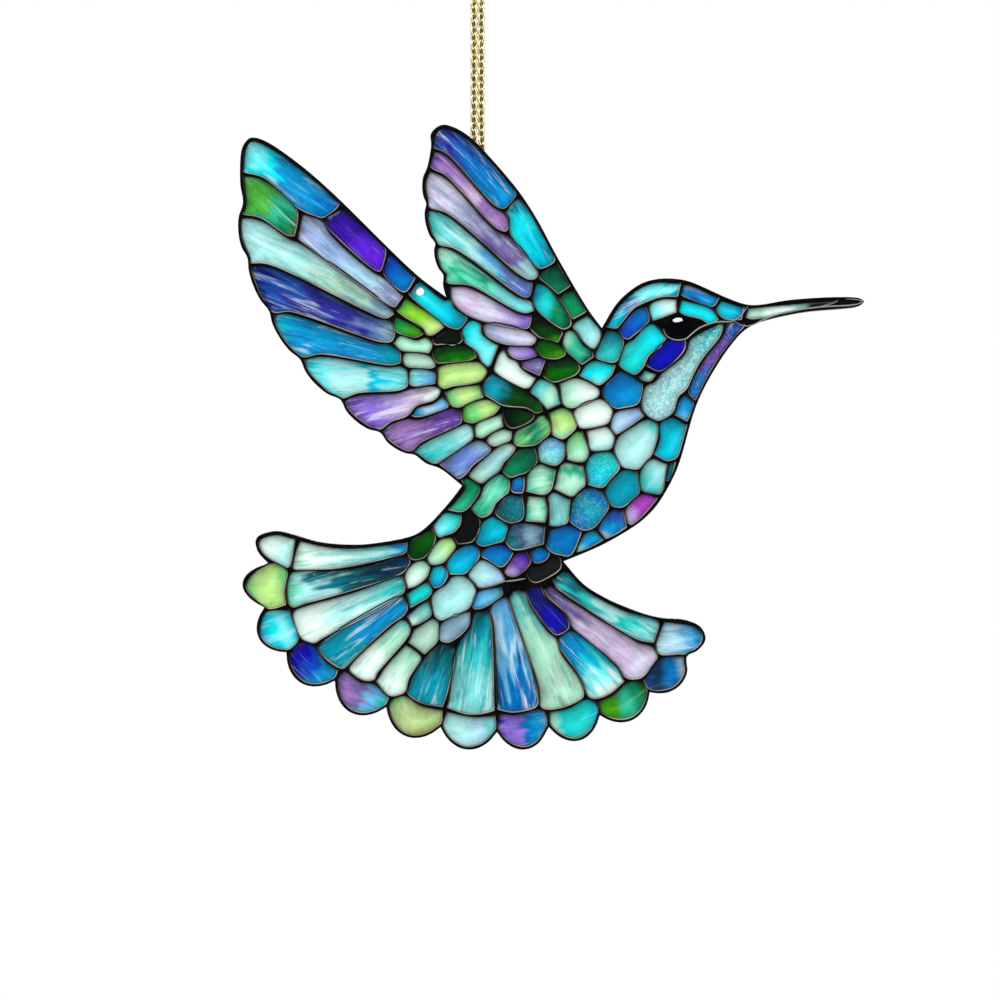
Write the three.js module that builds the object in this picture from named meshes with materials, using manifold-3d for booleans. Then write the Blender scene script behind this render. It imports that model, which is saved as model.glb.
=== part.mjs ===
// Acrylic suncatcher: a hovering hummingbird in the manner of leaded glass, hung by two
// strands of fine chain. Millimetres, +Z up, the front of the ornament faces -Y.
// The origin is the point inside the hanging ring where a hook carries it.

import * as THREE from "three";
import { mergeVertices } from "three/addons/utils/BufferGeometryUtils.js";
import Module from "manifold-3d";

const wasm = await Module();
wasm.setup();

// Driving dimensions of the bird
const BIRD_WIDTH = 156.7;
const PLATE_THICKNESS = 3;
const LEADING_HEIGHT = 0.9;
const RIB_WIDTH = 0.6;
const RIM_WIDTH = 0.8;
const HOLE_DIAMETER = 2;

// Driving dimensions of the fittings
const BIRD_DROP = 41.2;
const HANGING_RING_BORE = 8;
const HANGING_RING_WIRE = 1;
const JUMP_RING_BORE = 4.4;
const JUMP_RING_WIRE = 0.8;
const JUMP_RING_COVER = 1.2;
const BAIL_PAD_DIAMETER = 6.4;
const BAIL_PAD_THICKNESS = 0.8;
const BAIL_WIRE = 0.9;
const BAIL_ARCH_BORE = 2.8;
const FITTING_CLEARANCE = 0.15;

// Driving dimensions of the chain
const LINK_PITCH = 1.75;
const LINK_WIRE = 0.42;
const LINK_WIDTH = 2;
const LINK_TURN = 35;
const LINK_BITE = 0.08;
const END_LINK_PLAY = 0.3;
const STRAND_SPACING = 1.85;
const STRAND_SPREAD = 2.4;
const SPREAD_LENGTH = 8;

// Fineness of the facets
const OUTLINE_ERROR = 0.2;
const PANE_ERROR = 0.36;
const RING_STEPS = 14;
const ROUND_WIRE_SIDES = 5;
const LINK_WIRE_SIDES = 3;
const END_LINK_STEPS = 8;
const LINK_END_SHARE = 0.6;
const HOLE_STEPS = 12;

// The bird is drawn on a grid, x to the right and y down, and scaled by its width. The chain
// hangs on the grid's plumb line, and the drop of the bird is measured to the grid's top line.
const GRID_TOP = 124.5;
const GRID_PLUMB = 477.5;

// Stretches of the outline, counterclockwise from the beak's tip as seen from the front.
// A curve runs smoothly through its points. A lobe is a bulge: its end point, then its height.
const BEAK_AND_CROWN = {
  curve: [[865, 301.5], [861, 298.5], [843, 297], [790, 300], [751, 305], [728, 298],
    [690, 281.5], [668, 278.5], [645, 282], [620, 300], [602, 328]],
};
const RIGHT_WING_FRONT = {
  curve: [[602, 328], [590, 312], [578, 291], [558, 258], [540, 224], [521, 194], [500, 169],
    [475, 141], [460, 130], [442, 124.5], [431, 133], [431, 145]],
};
const RIGHT_WING_TIPS = {
  lobes: [[427, 167, 0.5], [426, 203, 4.5], [435, 243, 5], [443, 274.5, 4], [446, 297, 1.5]],
};
const LEFT_WING_FRONT = {
  curve: [[446, 297], [425, 282], [392, 251], [355, 215], [325, 186], [290, 157], [264, 140.5],
    [250, 137.5], [241.5, 148], [241, 163]],
};
const LEFT_WING_TIPS = {
  lobes: [[242.5, 203, 2], [247, 258, 7], [268.5, 311, 5], [300, 360, 5.5], [340, 400, 6.5],
    [380, 433, 6.5], [414, 455, 5], [440, 469, 2], [462, 486, 0.5]],
};
const BACK_AND_TAIL_TOP = {
  curve: [[462, 486], [448, 504], [417, 534], [386, 541.5], [361, 545], [323, 543], [299, 537],
    [275, 531.5], [256, 538.5], [257, 551], [268, 564]],
};
const TAIL_TIPS = {
  lobes: [[264, 608, 24], [286, 653, 18.5], [334.5, 681.5, 19], [386, 708, 21], [440.5, 728, 20.5],
    [497, 733, 20], [549, 728, 20], [600, 716, 20], [650, 693, 18], [687.5, 657, 16]],
};
const TAIL_BACK = {
  curve: [[687.5, 657], [698, 651], [706, 640], [701, 627.5], [685, 620.5], [662, 618.5],
    [636, 611.5], [588, 588], [563.5, 562]],
};
const BREAST_AND_THROAT = {
  curve: [[563.5, 562], [575, 557], [605, 544], [650, 514], [677, 470], [699, 400], [728, 350],
    [750, 327], [789, 315], [822, 310], [850, 308], [861, 305.5], [865, 301.5]],
};
const OUTLINE = [
  BEAK_AND_CROWN,
  RIGHT_WING_FRONT,
  RIGHT_WING_TIPS,
  LEFT_WING_FRONT,
  LEFT_WING_TIPS,
  BACK_AND_TAIL_TOP,
  TAIL_TIPS,
  TAIL_BACK,
  BREAST_AND_THROAT,
];
const LOBE_SHOULDER = 0.26;
const HOLE_CENTRE = [420, 291.5];

// Panes grow from a spine until they meet their neighbours. Each row gives the spine from x, y
// to x, y, then the pane's half width at both ends and the bow of the spine to its left.
const LEFT_WING_FEATHERS = [
  [257, 157, 318, 200, 12, 13],
  [256, 193, 290, 224, 14, 10],
  [305, 226, 390, 296, 10, 8],
  [259, 238, 383, 312, 15, 6],
  [268, 284, 383, 331, 14, 10],
  [290, 331, 392, 356, 13, 8],
  [322, 374, 396, 379, 14, 11],
  [415, 378, 425, 378, 7],
  [364, 411, 428, 396, 13, 8],
  [418, 411, 442, 404, 5],
  [401, 437, 452, 418, 11, 8],
  [427, 453, 465, 432, 8, 6],
  [450, 468, 482, 449, 7],
  [482, 473, 505, 452, 7],
];
const LEFT_WING_EDGE = [
  [338, 225, 377, 261, 9],
  [394, 266, 403, 277, 11],
  [422, 290, 458, 321, 10, 8],
  [470, 331, 490, 354, 9],
  [502, 359, 525, 380, 9],
  [408, 309, 435, 328, 7],
  [400, 325, 415, 333, 6],
  [403, 343, 423, 346, 7],
  [409, 357, 425, 362, 6],
  [441, 338, 455, 338, 7],
  [442, 353, 468, 354, 7],
  [450, 375, 472, 372, 10],
  [456, 397, 474, 393, 8],
  [472, 412, 487, 410, 9],
  [493, 387, 533, 404, 9],
  [483, 429, 498, 421, 7],
  [492, 440, 504, 434, 5],
  [511, 418, 526, 416, 8],
];
const RIGHT_WING_FEATHERS = [
  [448, 139, 500, 198, 10, 11],
  [442, 161, 500, 220, 7, 8],
  [437, 188, 526, 271, 13, 7],
  [440, 225, 523, 288, 12, 7],
  [448, 259, 523, 308, 11, 6],
  [466, 300, 523, 321, 12, 7],
  [488, 331, 528, 339, 6],
  [512, 353, 530, 354, 6],
  [527, 365, 538, 366, 7],
];
const RIGHT_WING_EDGE = [
  [516, 212, 543, 255, 10],
  [556, 278, 560, 283, 12],
  [570, 298, 575, 307, 11],
  [544, 293, 561, 320, 9],
  [540, 326, 555, 335, 8],
  [544, 347, 558, 352, 7],
  [553, 371, 571, 365, 9],
  [571, 340, 582, 356, 9],
  [586, 327, 591, 336, 11],
];
const HEAD = [
  [611, 340, 608, 352, 10],
  [613, 321, 672, 288, 7, 6, 8],
  [628, 330, 641, 314, 7],
  [658, 310, 668, 307, 8],
  [688, 308, 707, 316, 7],
  [692, 291, 712, 298, 7],
  [724, 306, 737, 310, 6],
  [634, 358, 652, 340, 13],
  [654, 361, 673, 349, 9],
  [646, 373, 650, 374, 4],
  [659, 400, 716, 334, 14, 7],
  [735, 331, 696, 394, 6, 7, -8],
  [686, 401, 686, 410, 7],
];
const EYE = [670, 325, 702, 323, 9, 4];
const BEAK = [751, 312.5, 838, 300, 3.2, 0.9];
const BREAST = [
  [592, 373, 605, 374, 11],
  [617, 385, 624, 393, 14],
  [571, 393, 584, 392, 13],
  [540, 391, 552, 398, 10],
  [590, 412, 596, 415, 14],
  [620, 423, 631, 417, 9],
  [560, 418, 563, 428, 10],
  [526, 436, 541, 426, 9],
  [576, 442, 577, 453, 9],
  [599, 434, 601, 441, 11],
  [632, 450, 640, 438, 16],
  [666, 450, 674, 432, 10],
  [549, 455, 554, 449, 10],
  [514, 468, 528, 458, 9],
  [537, 483, 543, 475, 11],
  [568, 481, 573, 475, 12],
  [599, 472, 604, 464, 13],
  [517, 486, 519, 482, 6],
  [620, 492, 627, 484, 12],
  [650, 481, 658, 470, 10],
  [669, 480, 673, 466, 3],
  [508, 509, 513, 508, 12],
  [535, 507, 536, 512, 11],
  [558, 504, 558, 516, 9],
  [585, 514, 592, 505, 14],
  [635, 514, 646, 504, 8],
  [609, 530, 616, 520, 8],
  [457, 505, 470, 492, 8],
  [482, 508, 500, 485, 9],
  [442, 529, 455, 520, 8],
  [464, 537, 471, 521, 8],
  [489, 535, 493, 529, 12],
  [519, 537, 534, 536, 11],
  [557, 540, 570, 537, 10],
  [586, 544, 594, 540, 8],
];
const RUMP = [
  [427, 535, 418, 551, 8],
  [446, 545, 436, 557, 8],
  [467, 554, 456, 565, 9],
  [492, 551, 502, 556, 8],
  [538, 553, 541, 556, 6],
  [513, 567, 523, 558, 5],
  [536, 574, 553, 564, 4.5],
  [482, 573, 487, 576, 10],
  [421, 568, 414, 580, 7],
  [439, 572, 438, 580, 7],
  [424, 588, 415, 600, 6],
  [457, 593, 448, 603, 15],
  [424, 608, 418, 619, 6.5],
  [427, 629, 422, 641, 9],
  [446, 631, 462, 619, 6],
  [478, 601, 494, 593, 4.5],
];
const TAIL_RAYS = [
  [305, 556, 402, 547, 11, 4, -4],
  [303, 588, 402, 563, 12, 5, -4],
  [314, 621, 398, 584, 13, 5],
  [338, 651, 400, 605, 12, 5],
  [364, 670, 402, 629, 10, 5],
  [391, 681, 409, 656, 11, 7],
  [429, 686, 440, 657, 16, 8],
  [471, 694, 481, 621, 18, 6],
  [517, 690, 501, 607, 17, 6],
  [559, 686, 519, 602, 18, 6],
  [536, 598, 556, 621, 6, 9],
  [571, 646, 602, 678, 9, 14],
  [551, 593, 634, 657, 4, 14],
  [565, 585, 643, 629, 7, 11],
];

const TAIL_CORNERS = [
  [270, 545, 281, 551, 12],
  [677, 638, 688, 637, 15],
];

// How far a pane may outgrow its half width, and how softly its corners are rounded
const GROWTH_LIMIT = 2;
const CORNER_SOFTNESS = 1.1;
const RAY_SPACING = 1.5;
const RAY_STEP = 0.5;

// The spine inside a lobe of the tail, as shares of the lobe's height and of its chord
const TIP_SHIFT = 0.3;
const TIP_HALF_WIDTH = 0.86;
const TIP_SPINE = 0.4;

const BLACK = new THREE.MeshStandardMaterial({ color: 0x0b0b0d, roughness: 0.3, metalness: 0 });
const ACRYLIC = new THREE.MeshStandardMaterial({
  color: 0x6fd0d2,
  roughness: 0.1,
  metalness: 0,
  transparent: true,
  opacity: 0.7,
});
const BRASS = new THREE.MeshStandardMaterial({ color: 0xcdb878, roughness: 0.3, metalness: 1 });

// Points of one smooth curve through the given grid points
function curvePoints(points) {
  const spline = new THREE.CatmullRomCurve3(
    points.map(([x, y]) => new THREE.Vector3(x, y, 0)),
    false,
    "centripetal",
  );
  const count = Math.ceil(spline.getLength());
  return spline.getSpacedPoints(count).map((point) => [point.x, point.y]);
}

// Points of a rounded bulge from one grid point to another, with its height on the outer side
function lobePoints([x0, y0], [x1, y1, height]) {
  const lift = 4 / 3 * height;
  const outward = new THREE.Vector2(y0 - y1, x1 - x0).normalize();
  const shoulder = (share) => new THREE.Vector2(
    x0 + (x1 - x0) * share + outward.x * lift,
    y0 + (y1 - y0) * share + outward.y * lift,
  );
  const bulge = new THREE.CubicBezierCurve(
    new THREE.Vector2(x0, y0),
    shoulder(LOBE_SHOULDER),
    shoulder(1 - LOBE_SHOULDER),
    new THREE.Vector2(x1, y1),
  );
  return bulge.getSpacedPoints(Math.ceil(bulge.getLength())).map((point) => [point.x, point.y]);
}

// The whole outline as one closed row of closely spaced grid points
function outlinePoints() {
  const points = [];
  for (const stretch of OUTLINE) {
    if (stretch.curve) {
      points.push(...curvePoints(stretch.curve).slice(1));
      continue;
    }
    let start = points[points.length - 1];
    for (const lobe of stretch.lobes) {
      points.push(...lobePoints(start, lobe).slice(1));
      start = lobe;
    }
  }
  return points;
}

function distanceToSegment(px, py, [ax, ay], [bx, by]) {
  const dx = bx - ax;
  const dy = by - ay;
  const length = dx * dx + dy * dy;
  const share = length > 0 ? ((px - ax) * dx + (py - ay) * dy) / length : 0;
  const held = Math.min(1, Math.max(0, share));
  return { distance: Math.hypot(px - ax - held * dx, py - ay - held * dy), share: held };
}

// Leaves out the points of an open row that lie within the tolerance of the line without them
function thinRow(points, tolerance) {
  const first = points[0];
  const last = points[points.length - 1];
  let farthest = 0;
  let index = 0;
  for (let i = 1; i < points.length - 1; i += 1) {
    const { distance } = distanceToSegment(points[i][0], points[i][1], first, last);
    if (distance > farthest) {
      farthest = distance;
      index = i;
    }
  }
  if (farthest <= tolerance) {
    return [first, last];
  }
  const before = thinRow(points.slice(0, index + 1), tolerance);
  const after = thinRow(points.slice(index), tolerance);
  return [...before.slice(0, -1), ...after];
}

// Thins a closed row in two halves, split at the point farthest from its start
function thinLoop(points, tolerance) {
  const [x0, y0] = points[0];
  let split = 0;
  let farthest = 0;
  points.forEach(([x, y], index) => {
    const distance = Math.hypot(x - x0, y - y0);
    if (distance > farthest) {
      farthest = distance;
      split = index;
    }
  });
  const half = thinRow(points.slice(0, split + 1), tolerance);
  const rest = thinRow([...points.slice(split), points[0]], tolerance);
  return [...half.slice(0, -1), ...rest.slice(0, -1)];
}

// A pane's spine as a short row of points, with its half width at any share of its length
function makeSpine([x0, y0, x1, y1, start, end = start, bow = 0]) {
  const steps = bow === 0 ? 1 : 6;
  const length = Math.hypot(x1 - x0, y1 - y0);
  const left = [(y1 - y0) / length, (x0 - x1) / length];
  const points = [];
  for (let i = 0; i <= steps; i += 1) {
    const share = i / steps;
    const shift = 4 * bow * share * (1 - share);
    points.push([
      x0 + (x1 - x0) * share + left[0] * shift,
      y0 + (y1 - y0) * share + left[1] * shift,
    ]);
  }
  return { points, length, halfWidth: (share) => start + (end - start) * share };
}

// Distance from a point to the edge that a spine claims for its pane
function distanceToClaim(px, py, spine) {
  let best = Infinity;
  const steps = spine.points.length - 1;
  for (let i = 0; i < steps; i += 1) {
    const { distance, share } = distanceToSegment(px, py, spine.points[i], spine.points[i + 1]);
    best = Math.min(best, distance - spine.halfWidth((i + share) / steps));
  }
  return best;
}

// Rays that leave a spine: along both sides at right angles, and in a fan at both ends
function spineRays(spine) {
  const steps = spine.points.length - 1;
  const perStep = Math.max(2, Math.ceil(spine.length / steps / RAY_SPACING));
  const side = (sign) => {
    const rays = [];
    for (let i = 0; i < steps; i += 1) {
      const [ax, ay] = spine.points[i];
      const [bx, by] = spine.points[i + 1];
      const heading = Math.atan2(by - ay, bx - ax);
      for (let k = 0; k <= perStep; k += 1) {
        const share = k / perStep;
        rays.push({
          origin: [ax + (bx - ax) * share, ay + (by - ay) * share],
          angle: heading + sign * Math.PI / 2,
          share: (i + share) / steps,
        });
      }
    }
    return rays;
  };
  const fan = (ray, share) => {
    const count = Math.ceil(Math.PI * spine.halfWidth(share) / RAY_SPACING);
    return Array.from({ length: count - 1 }, (unused, k) => ({
      origin: ray.origin,
      angle: ray.angle - Math.PI * (k + 1) / count,
      share,
    }));
  };
  const onward = side(1);
  const back = side(-1).reverse();
  return [...onward, ...fan(onward[onward.length - 1], 1), ...back, ...fan(back[back.length - 1], 0)];
}

// The smallest of the values, with a soft change from one to the next
function softMinimum(values, softness) {
  const least = Math.min(...values);
  const sum = values.reduce((total, value) => total + Math.exp((least - value) / softness), 0);
  return least - softness * Math.log(sum);
}

// Grows one pane: each ray stops half a rib before the line shared with the nearest neighbour,
// or where the rim begins
function growPane(spine, others, outline) {
  const rib = RIB_WIDTH / GRID_STEP;
  const rim = RIM_WIDTH / GRID_STEP;
  const [cx, cy] = spine.points[Math.floor(spine.points.length / 2)];
  const reach = spine.length + 3 * Math.max(spine.halfWidth(0), spine.halfWidth(1)) + rim;
  const edges = outline.map((point, i) => [point, outline[(i + 1) % outline.length]]);
  const nearEdges = edges.filter(([a, b]) => distanceToSegment(cx, cy, a, b).distance < reach);
  const near = others.filter((other) => distanceToClaim(cx, cy, other) < reach);
  const room = (x, y, travelled, halfWidth) => {
    const own = travelled - halfWidth;
    const values = near.map((other) => distanceToClaim(x, y, other) - own);
    const edge = Math.min(...nearEdges.map(([a, b]) => distanceToSegment(x, y, a, b).distance), reach);
    values.push(2 * (edge - rim) + rib);
    values.push(2 * (halfWidth * GROWTH_LIMIT - travelled) + rib);
    return softMinimum(values, CORNER_SOFTNESS);
  };
  return spineRays(spine).map(({ origin, angle, share }) => {
    const dx = Math.cos(angle);
    const dy = Math.sin(angle);
    const halfWidth = spine.halfWidth(share);
    let travelled = RAY_STEP;
    while (room(origin[0] + dx * (travelled + RAY_STEP), origin[1] + dy * (travelled + RAY_STEP),
      travelled + RAY_STEP, halfWidth) > rib) {
      travelled += RAY_STEP;
    }
    return [origin[0] + dx * travelled, origin[1] + dy * travelled];
  });
}

// The pane inside each lobe of the tail: a spine along the lobe's chord, shifted outward
function lobeSpine([x0, y0], [x1, y1, height]) {
  const chord = Math.hypot(x1 - x0, y1 - y0);
  const outward = [(y0 - y1) / chord, (x1 - x0) / chord];
  const shift = TIP_SHIFT * height;
  const middle = [(x0 + x1) / 2 + outward[0] * shift, (y0 + y1) / 2 + outward[1] * shift];
  const half = [(x1 - x0) * TIP_SPINE / 2, (y1 - y0) * TIP_SPINE / 2];
  return [
    middle[0] - half[0],
    middle[1] - half[1],
    middle[0] + half[0],
    middle[1] + half[1],
    TIP_HALF_WIDTH * height,
  ];
}

function tailTipRows() {
  const start = BACK_AND_TAIL_TOP.curve[BACK_AND_TAIL_TOP.curve.length - 1];
  const { lobes } = TAIL_TIPS;
  return lobes.map((lobe, i) => lobeSpine(i === 0 ? start : lobes[i - 1], lobe));
}

function growPanes(outline) {
  const rows = [
    ...LEFT_WING_FEATHERS,
    ...LEFT_WING_EDGE,
    ...RIGHT_WING_FEATHERS,
    ...RIGHT_WING_EDGE,
    ...HEAD,
    ...BREAST,
    ...RUMP,
    ...TAIL_RAYS,
    ...tailTipRows(),
    ...TAIL_CORNERS,
    BEAK,
  ];
  const spines = rows.map(makeSpine);
  const eye = makeSpine(EYE);
  return spines.map((spine) => {
    const others = [...spines.filter((other) => other !== spine), eye];
    return growPane(spine, others, outline);
  });
}

const fineOutline = outlinePoints();
const outlineX = fineOutline.map(([x]) => x);
const GRID_STEP = BIRD_WIDTH / (Math.max(...outlineX) - Math.min(...outlineX));
const outline = thinLoop(fineOutline, OUTLINE_ERROR / GRID_STEP);

const toX = (gridX) => (gridX - GRID_PLUMB) * GRID_STEP;
const toZ = (gridY) => -BIRD_DROP - (gridY - GRID_TOP) * GRID_STEP;
const toPlane = ([gridX, gridY]) => new THREE.Vector2(toX(gridX), toZ(gridY));
const outlineShape = () => new THREE.Shape(outline.map(toPlane));

function circlePath(centre, diameter) {
  const path = new THREE.Path();
  const middle = toPlane(centre);
  path.absarc(middle.x, middle.y, diameter / 2, 0, 2 * Math.PI);
  return new THREE.Path(path.getPoints(HOLE_STEPS).slice(0, -1));
}

// A slab of the given shape, standing in the XZ plane, from its back face forward to -Y
function standingSlab(shape, backY, frontY) {
  const geometry = new THREE.ExtrudeGeometry(shape, { depth: 1, bevelEnabled: false });
  const position = geometry.getAttribute("position");
  for (let i = 0; i < position.count; i += 1) {
    const depth = position.getZ(i) > 0.5 ? frontY : backY;
    position.setXYZ(i, position.getX(i), depth, position.getY(i));
  }
  return geometry;
}

// A closed loop of wire in the XZ plane through the given corners, mitred at each of them. The
// corners run counterclockwise seen from -Y, and the section has a point on the inner side.
function wireLoop(corners, wire, sides) {
  const count = corners.length;
  const points = corners.map(([x, z]) => new THREE.Vector2(x, z));
  const normals = points.map((point, i) => {
    const along = points[(i + 1) % count].clone().sub(point).normalize();
    return new THREE.Vector2(along.y, -along.x);
  });
  const vertices = [];
  const faces = [];
  points.forEach((point, i) => {
    const before = normals[(i + count - 1) % count];
    const mitre = before.clone().add(normals[i]).divideScalar(1 + before.dot(normals[i]));
    for (let k = 0; k < sides; k += 1) {
      const turn = Math.PI * (1 + 2 * k / sides);
      const place = mitre.clone().multiplyScalar(Math.cos(turn) * wire / 2).add(point);
      vertices.push(place.x, Math.sin(turn) * wire / 2, place.y);
      const ahead = (i + 1) % count * sides;
      const here = i * sides;
      const up = (k + 1) % sides;
      faces.push(here + k, ahead + up, ahead + k, here + k, here + up, ahead + up);
    }
  });
  const geometry = new THREE.BufferGeometry();
  geometry.setAttribute("position", new THREE.Float32BufferAttribute(vertices, 3));
  geometry.setIndex(faces);
  return geometry;
}

function roundRing(radius, wire, steps, sides) {
  const corners = Array.from({ length: steps }, (unused, i) => {
    const angle = 2 * Math.PI * i / steps;
    return [radius * Math.cos(angle), radius * Math.sin(angle)];
  });
  return wireLoop(corners, wire, sides);
}

// An oval link drawn with six corners: two at each blunt end and one at each side
function ovalLink(halfWidth, halfLength) {
  const end = LINK_END_SHARE * halfWidth;
  const corners = [
    [halfWidth, 0],
    [end, halfLength],
    [-end, halfLength],
    [-halfWidth, 0],
    [-end, -halfLength],
    [end, -halfLength],
  ];
  return wireLoop(corners, LINK_WIRE, LINK_WIRE_SIDES);
}

function toSolid(geometry) {
  const plain = geometry.clone();
  plain.deleteAttribute("normal");
  plain.deleteAttribute("uv");
  const merged = mergeVertices(plain, 1e-4);
  return new wasm.Manifold(new wasm.Mesh({
    numProp: 3,
    vertProperties: new Float32Array(merged.getAttribute("position").array),
    triVerts: new Uint32Array(merged.getIndex().array),
  }));
}

function toGeometry(solid) {
  const mesh = solid.getMesh();
  const geometry = new THREE.BufferGeometry();
  geometry.setAttribute("position", new THREE.BufferAttribute(mesh.vertProperties, 3));
  geometry.setIndex(new THREE.BufferAttribute(mesh.triVerts, 1));
  return geometry;
}

function fuse(geometries) {
  return toGeometry(wasm.Manifold.union(geometries.map(toSolid)));
}

function namedMesh(name, geometry, material) {
  const mesh = new THREE.Mesh(geometry, material);
  mesh.name = name;
  return mesh;
}

// Places that several pieces share. The chain hangs in the plane y = 0, behind the plate.
const HANGING_RING_RADIUS = (HANGING_RING_BORE + HANGING_RING_WIRE) / 2;
const HANGING_RING_Z = -HANGING_RING_BORE / 2;
const JUMP_RING_RADIUS = (JUMP_RING_BORE + JUMP_RING_WIRE) / 2;
const PAD_FACE_Y = -JUMP_RING_WIRE / 2 - FITTING_CLEARANCE;
const PLATE_BACK_Y = PAD_FACE_Y - BAIL_PAD_THICKNESS;
const PLATE_FRONT_Y = PLATE_BACK_Y - PLATE_THICKNESS;
const LEADING_FRONT_Y = PLATE_FRONT_Y - LEADING_HEIGHT;

// Height of the wing's upper edge on the plumb line, where the chain goes behind it
const crossings = fineOutline.filter(([x], i) => {
  const [nextX] = fineOutline[(i + 1) % fineOutline.length];
  return (x >= GRID_PLUMB) !== (nextX >= GRID_PLUMB);
});
const WING_EDGE_Z = Math.max(...crossings.map(([, y]) => toZ(y)));
const JUMP_RING_Z = WING_EDGE_Z - JUMP_RING_COVER - JUMP_RING_RADIUS - JUMP_RING_WIRE / 2;

// The arch stands on the pad in the YZ plane, and the ring lies in its upper half.
const ARCH_RADIUS = (BAIL_ARCH_BORE + BAIL_WIRE) / 2;
const RING_IN_ARCH_Y = -PAD_FACE_Y;
const ARCH_INNER = BAIL_ARCH_BORE / 2 - JUMP_RING_WIRE / 2 - FITTING_CLEARANCE;
const RING_ABOVE_ARCH = Math.sqrt(ARCH_INNER ** 2 - RING_IN_ARCH_Y ** 2);
const BAIL_Z = JUMP_RING_Z - JUMP_RING_RADIUS - RING_ABOVE_ARCH;

function acrylicPlate() {
  const shape = outlineShape();
  shape.holes.push(circlePath(HOLE_CENTRE, HOLE_DIAMETER));
  return namedMesh("acrylic_plate", standingSlab(shape, PLATE_BACK_Y, PLATE_FRONT_Y), ACRYLIC);
}

function leading() {
  const shape = outlineShape();
  for (const pane of growPanes(outline)) {
    const loop = thinLoop(pane, PANE_ERROR / GRID_STEP);
    shape.holes.push(new THREE.Path(loop.map(toPlane)));
  }
  return namedMesh("leading", standingSlab(shape, PLATE_FRONT_Y, LEADING_FRONT_Y), BLACK);
}

function bail() {
  const pad = new THREE.CylinderGeometry(
    BAIL_PAD_DIAMETER / 2,
    BAIL_PAD_DIAMETER / 2,
    BAIL_PAD_THICKNESS,
    RING_STEPS,
  );
  pad.translate(0, PAD_FACE_Y - BAIL_PAD_THICKNESS / 2, BAIL_Z);
  const arch = roundRing(ARCH_RADIUS, BAIL_WIRE, RING_STEPS, ROUND_WIRE_SIDES);
  arch.rotateZ(Math.PI / 2);
  arch.translate(0, PAD_FACE_Y, BAIL_Z);
  const room = new THREE.BoxGeometry(BAIL_PAD_DIAMETER, 2 * ARCH_RADIUS, 4 * ARCH_RADIUS);
  room.translate(0, PAD_FACE_Y - BAIL_PAD_THICKNESS / 2 - ARCH_RADIUS, BAIL_Z);
  const standing = toSolid(arch).subtract(toSolid(room));
  return namedMesh("bail", toGeometry(toSolid(pad).add(standing)), BRASS);
}

function jumpRing() {
  const ring = roundRing(JUMP_RING_RADIUS, JUMP_RING_WIRE, RING_STEPS, ROUND_WIRE_SIDES);
  ring.translate(0, 0, JUMP_RING_Z);
  return namedMesh("jump_ring", ring, BRASS);
}

function hangingRing() {
  const ring = roundRing(HANGING_RING_RADIUS, HANGING_RING_WIRE, RING_STEPS, ROUND_WIRE_SIDES);
  ring.translate(0, 0, HANGING_RING_Z);
  return namedMesh("hanging_ring", ring, BRASS);
}

// Height on a ring's wire, above or below the ring's middle, at a distance from the plumb line
const wireHeight = (radius, x) => Math.sqrt(radius ** 2 - x ** 2);

// One strand: a round end link about each ring, and oval links between them that pass through
// each other, turned to one side and the other by turns
function chainStrand(name, sign) {
  const topX = STRAND_SPACING / 2;
  const bottomX = STRAND_SPREAD / 2;
  const topZ = HANGING_RING_Z - wireHeight(HANGING_RING_RADIUS, topX);
  const bottomZ = JUMP_RING_Z + wireHeight(JUMP_RING_RADIUS, bottomX);
  const endRadius = (wire) => (wire + LINK_WIRE) / 2 + END_LINK_PLAY;
  const topEnd = endRadius(HANGING_RING_WIRE);
  const bottomEnd = endRadius(JUMP_RING_WIRE);
  const hold = LINK_WIRE - LINK_BITE;
  const run = topZ - bottomZ - topEnd - bottomEnd + hold;
  const count = Math.round(run / LINK_PITCH);
  const pitch = run / count;
  const halfLength = (pitch + hold) / 2;
  const halfWidth = (LINK_WIDTH - LINK_WIRE) / 2;
  const strandX = (z) => {
    const share = Math.min(1, Math.max(0, 1 - (z - bottomZ) / SPREAD_LENGTH));
    return sign * (topX + (bottomX - topX) * share ** 2);
  };
  const links = [];
  const addLink = (link, turn, z) => {
    link.rotateZ(turn);
    link.translate(strandX(z), 0, z);
    links.push(link);
  };
  addLink(roundRing(bottomEnd, LINK_WIRE, END_LINK_STEPS, LINK_WIRE_SIDES), Math.PI / 2, bottomZ);
  for (let i = 0; i < count; i += 1) {
    const turn = THREE.MathUtils.degToRad(i % 2 === 0 ? -LINK_TURN : LINK_TURN);
    const middle = bottomZ + bottomEnd - hold + halfLength + i * pitch;
    addLink(ovalLink(halfWidth, halfLength), turn, middle);
  }
  addLink(roundRing(topEnd, LINK_WIRE, END_LINK_STEPS, LINK_WIRE_SIDES), Math.PI / 2, topZ);
  return namedMesh(name, fuse(links), BRASS);
}

const suncatcher = new THREE.Group();
suncatcher.add(
  acrylicPlate(),
  leading(),
  bail(),
  jumpRing(),
  chainStrand("chain_left", -1),
  chainStrand("chain_right", 1),
  hangingRing(),
);

export default suncatcher;
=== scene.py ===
import math

import bmesh
import bpy
import numpy as np
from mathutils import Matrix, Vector
from mathutils.geometry import delaunay_2d_cdt
from mathutils.kdtree import KDTree


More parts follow.
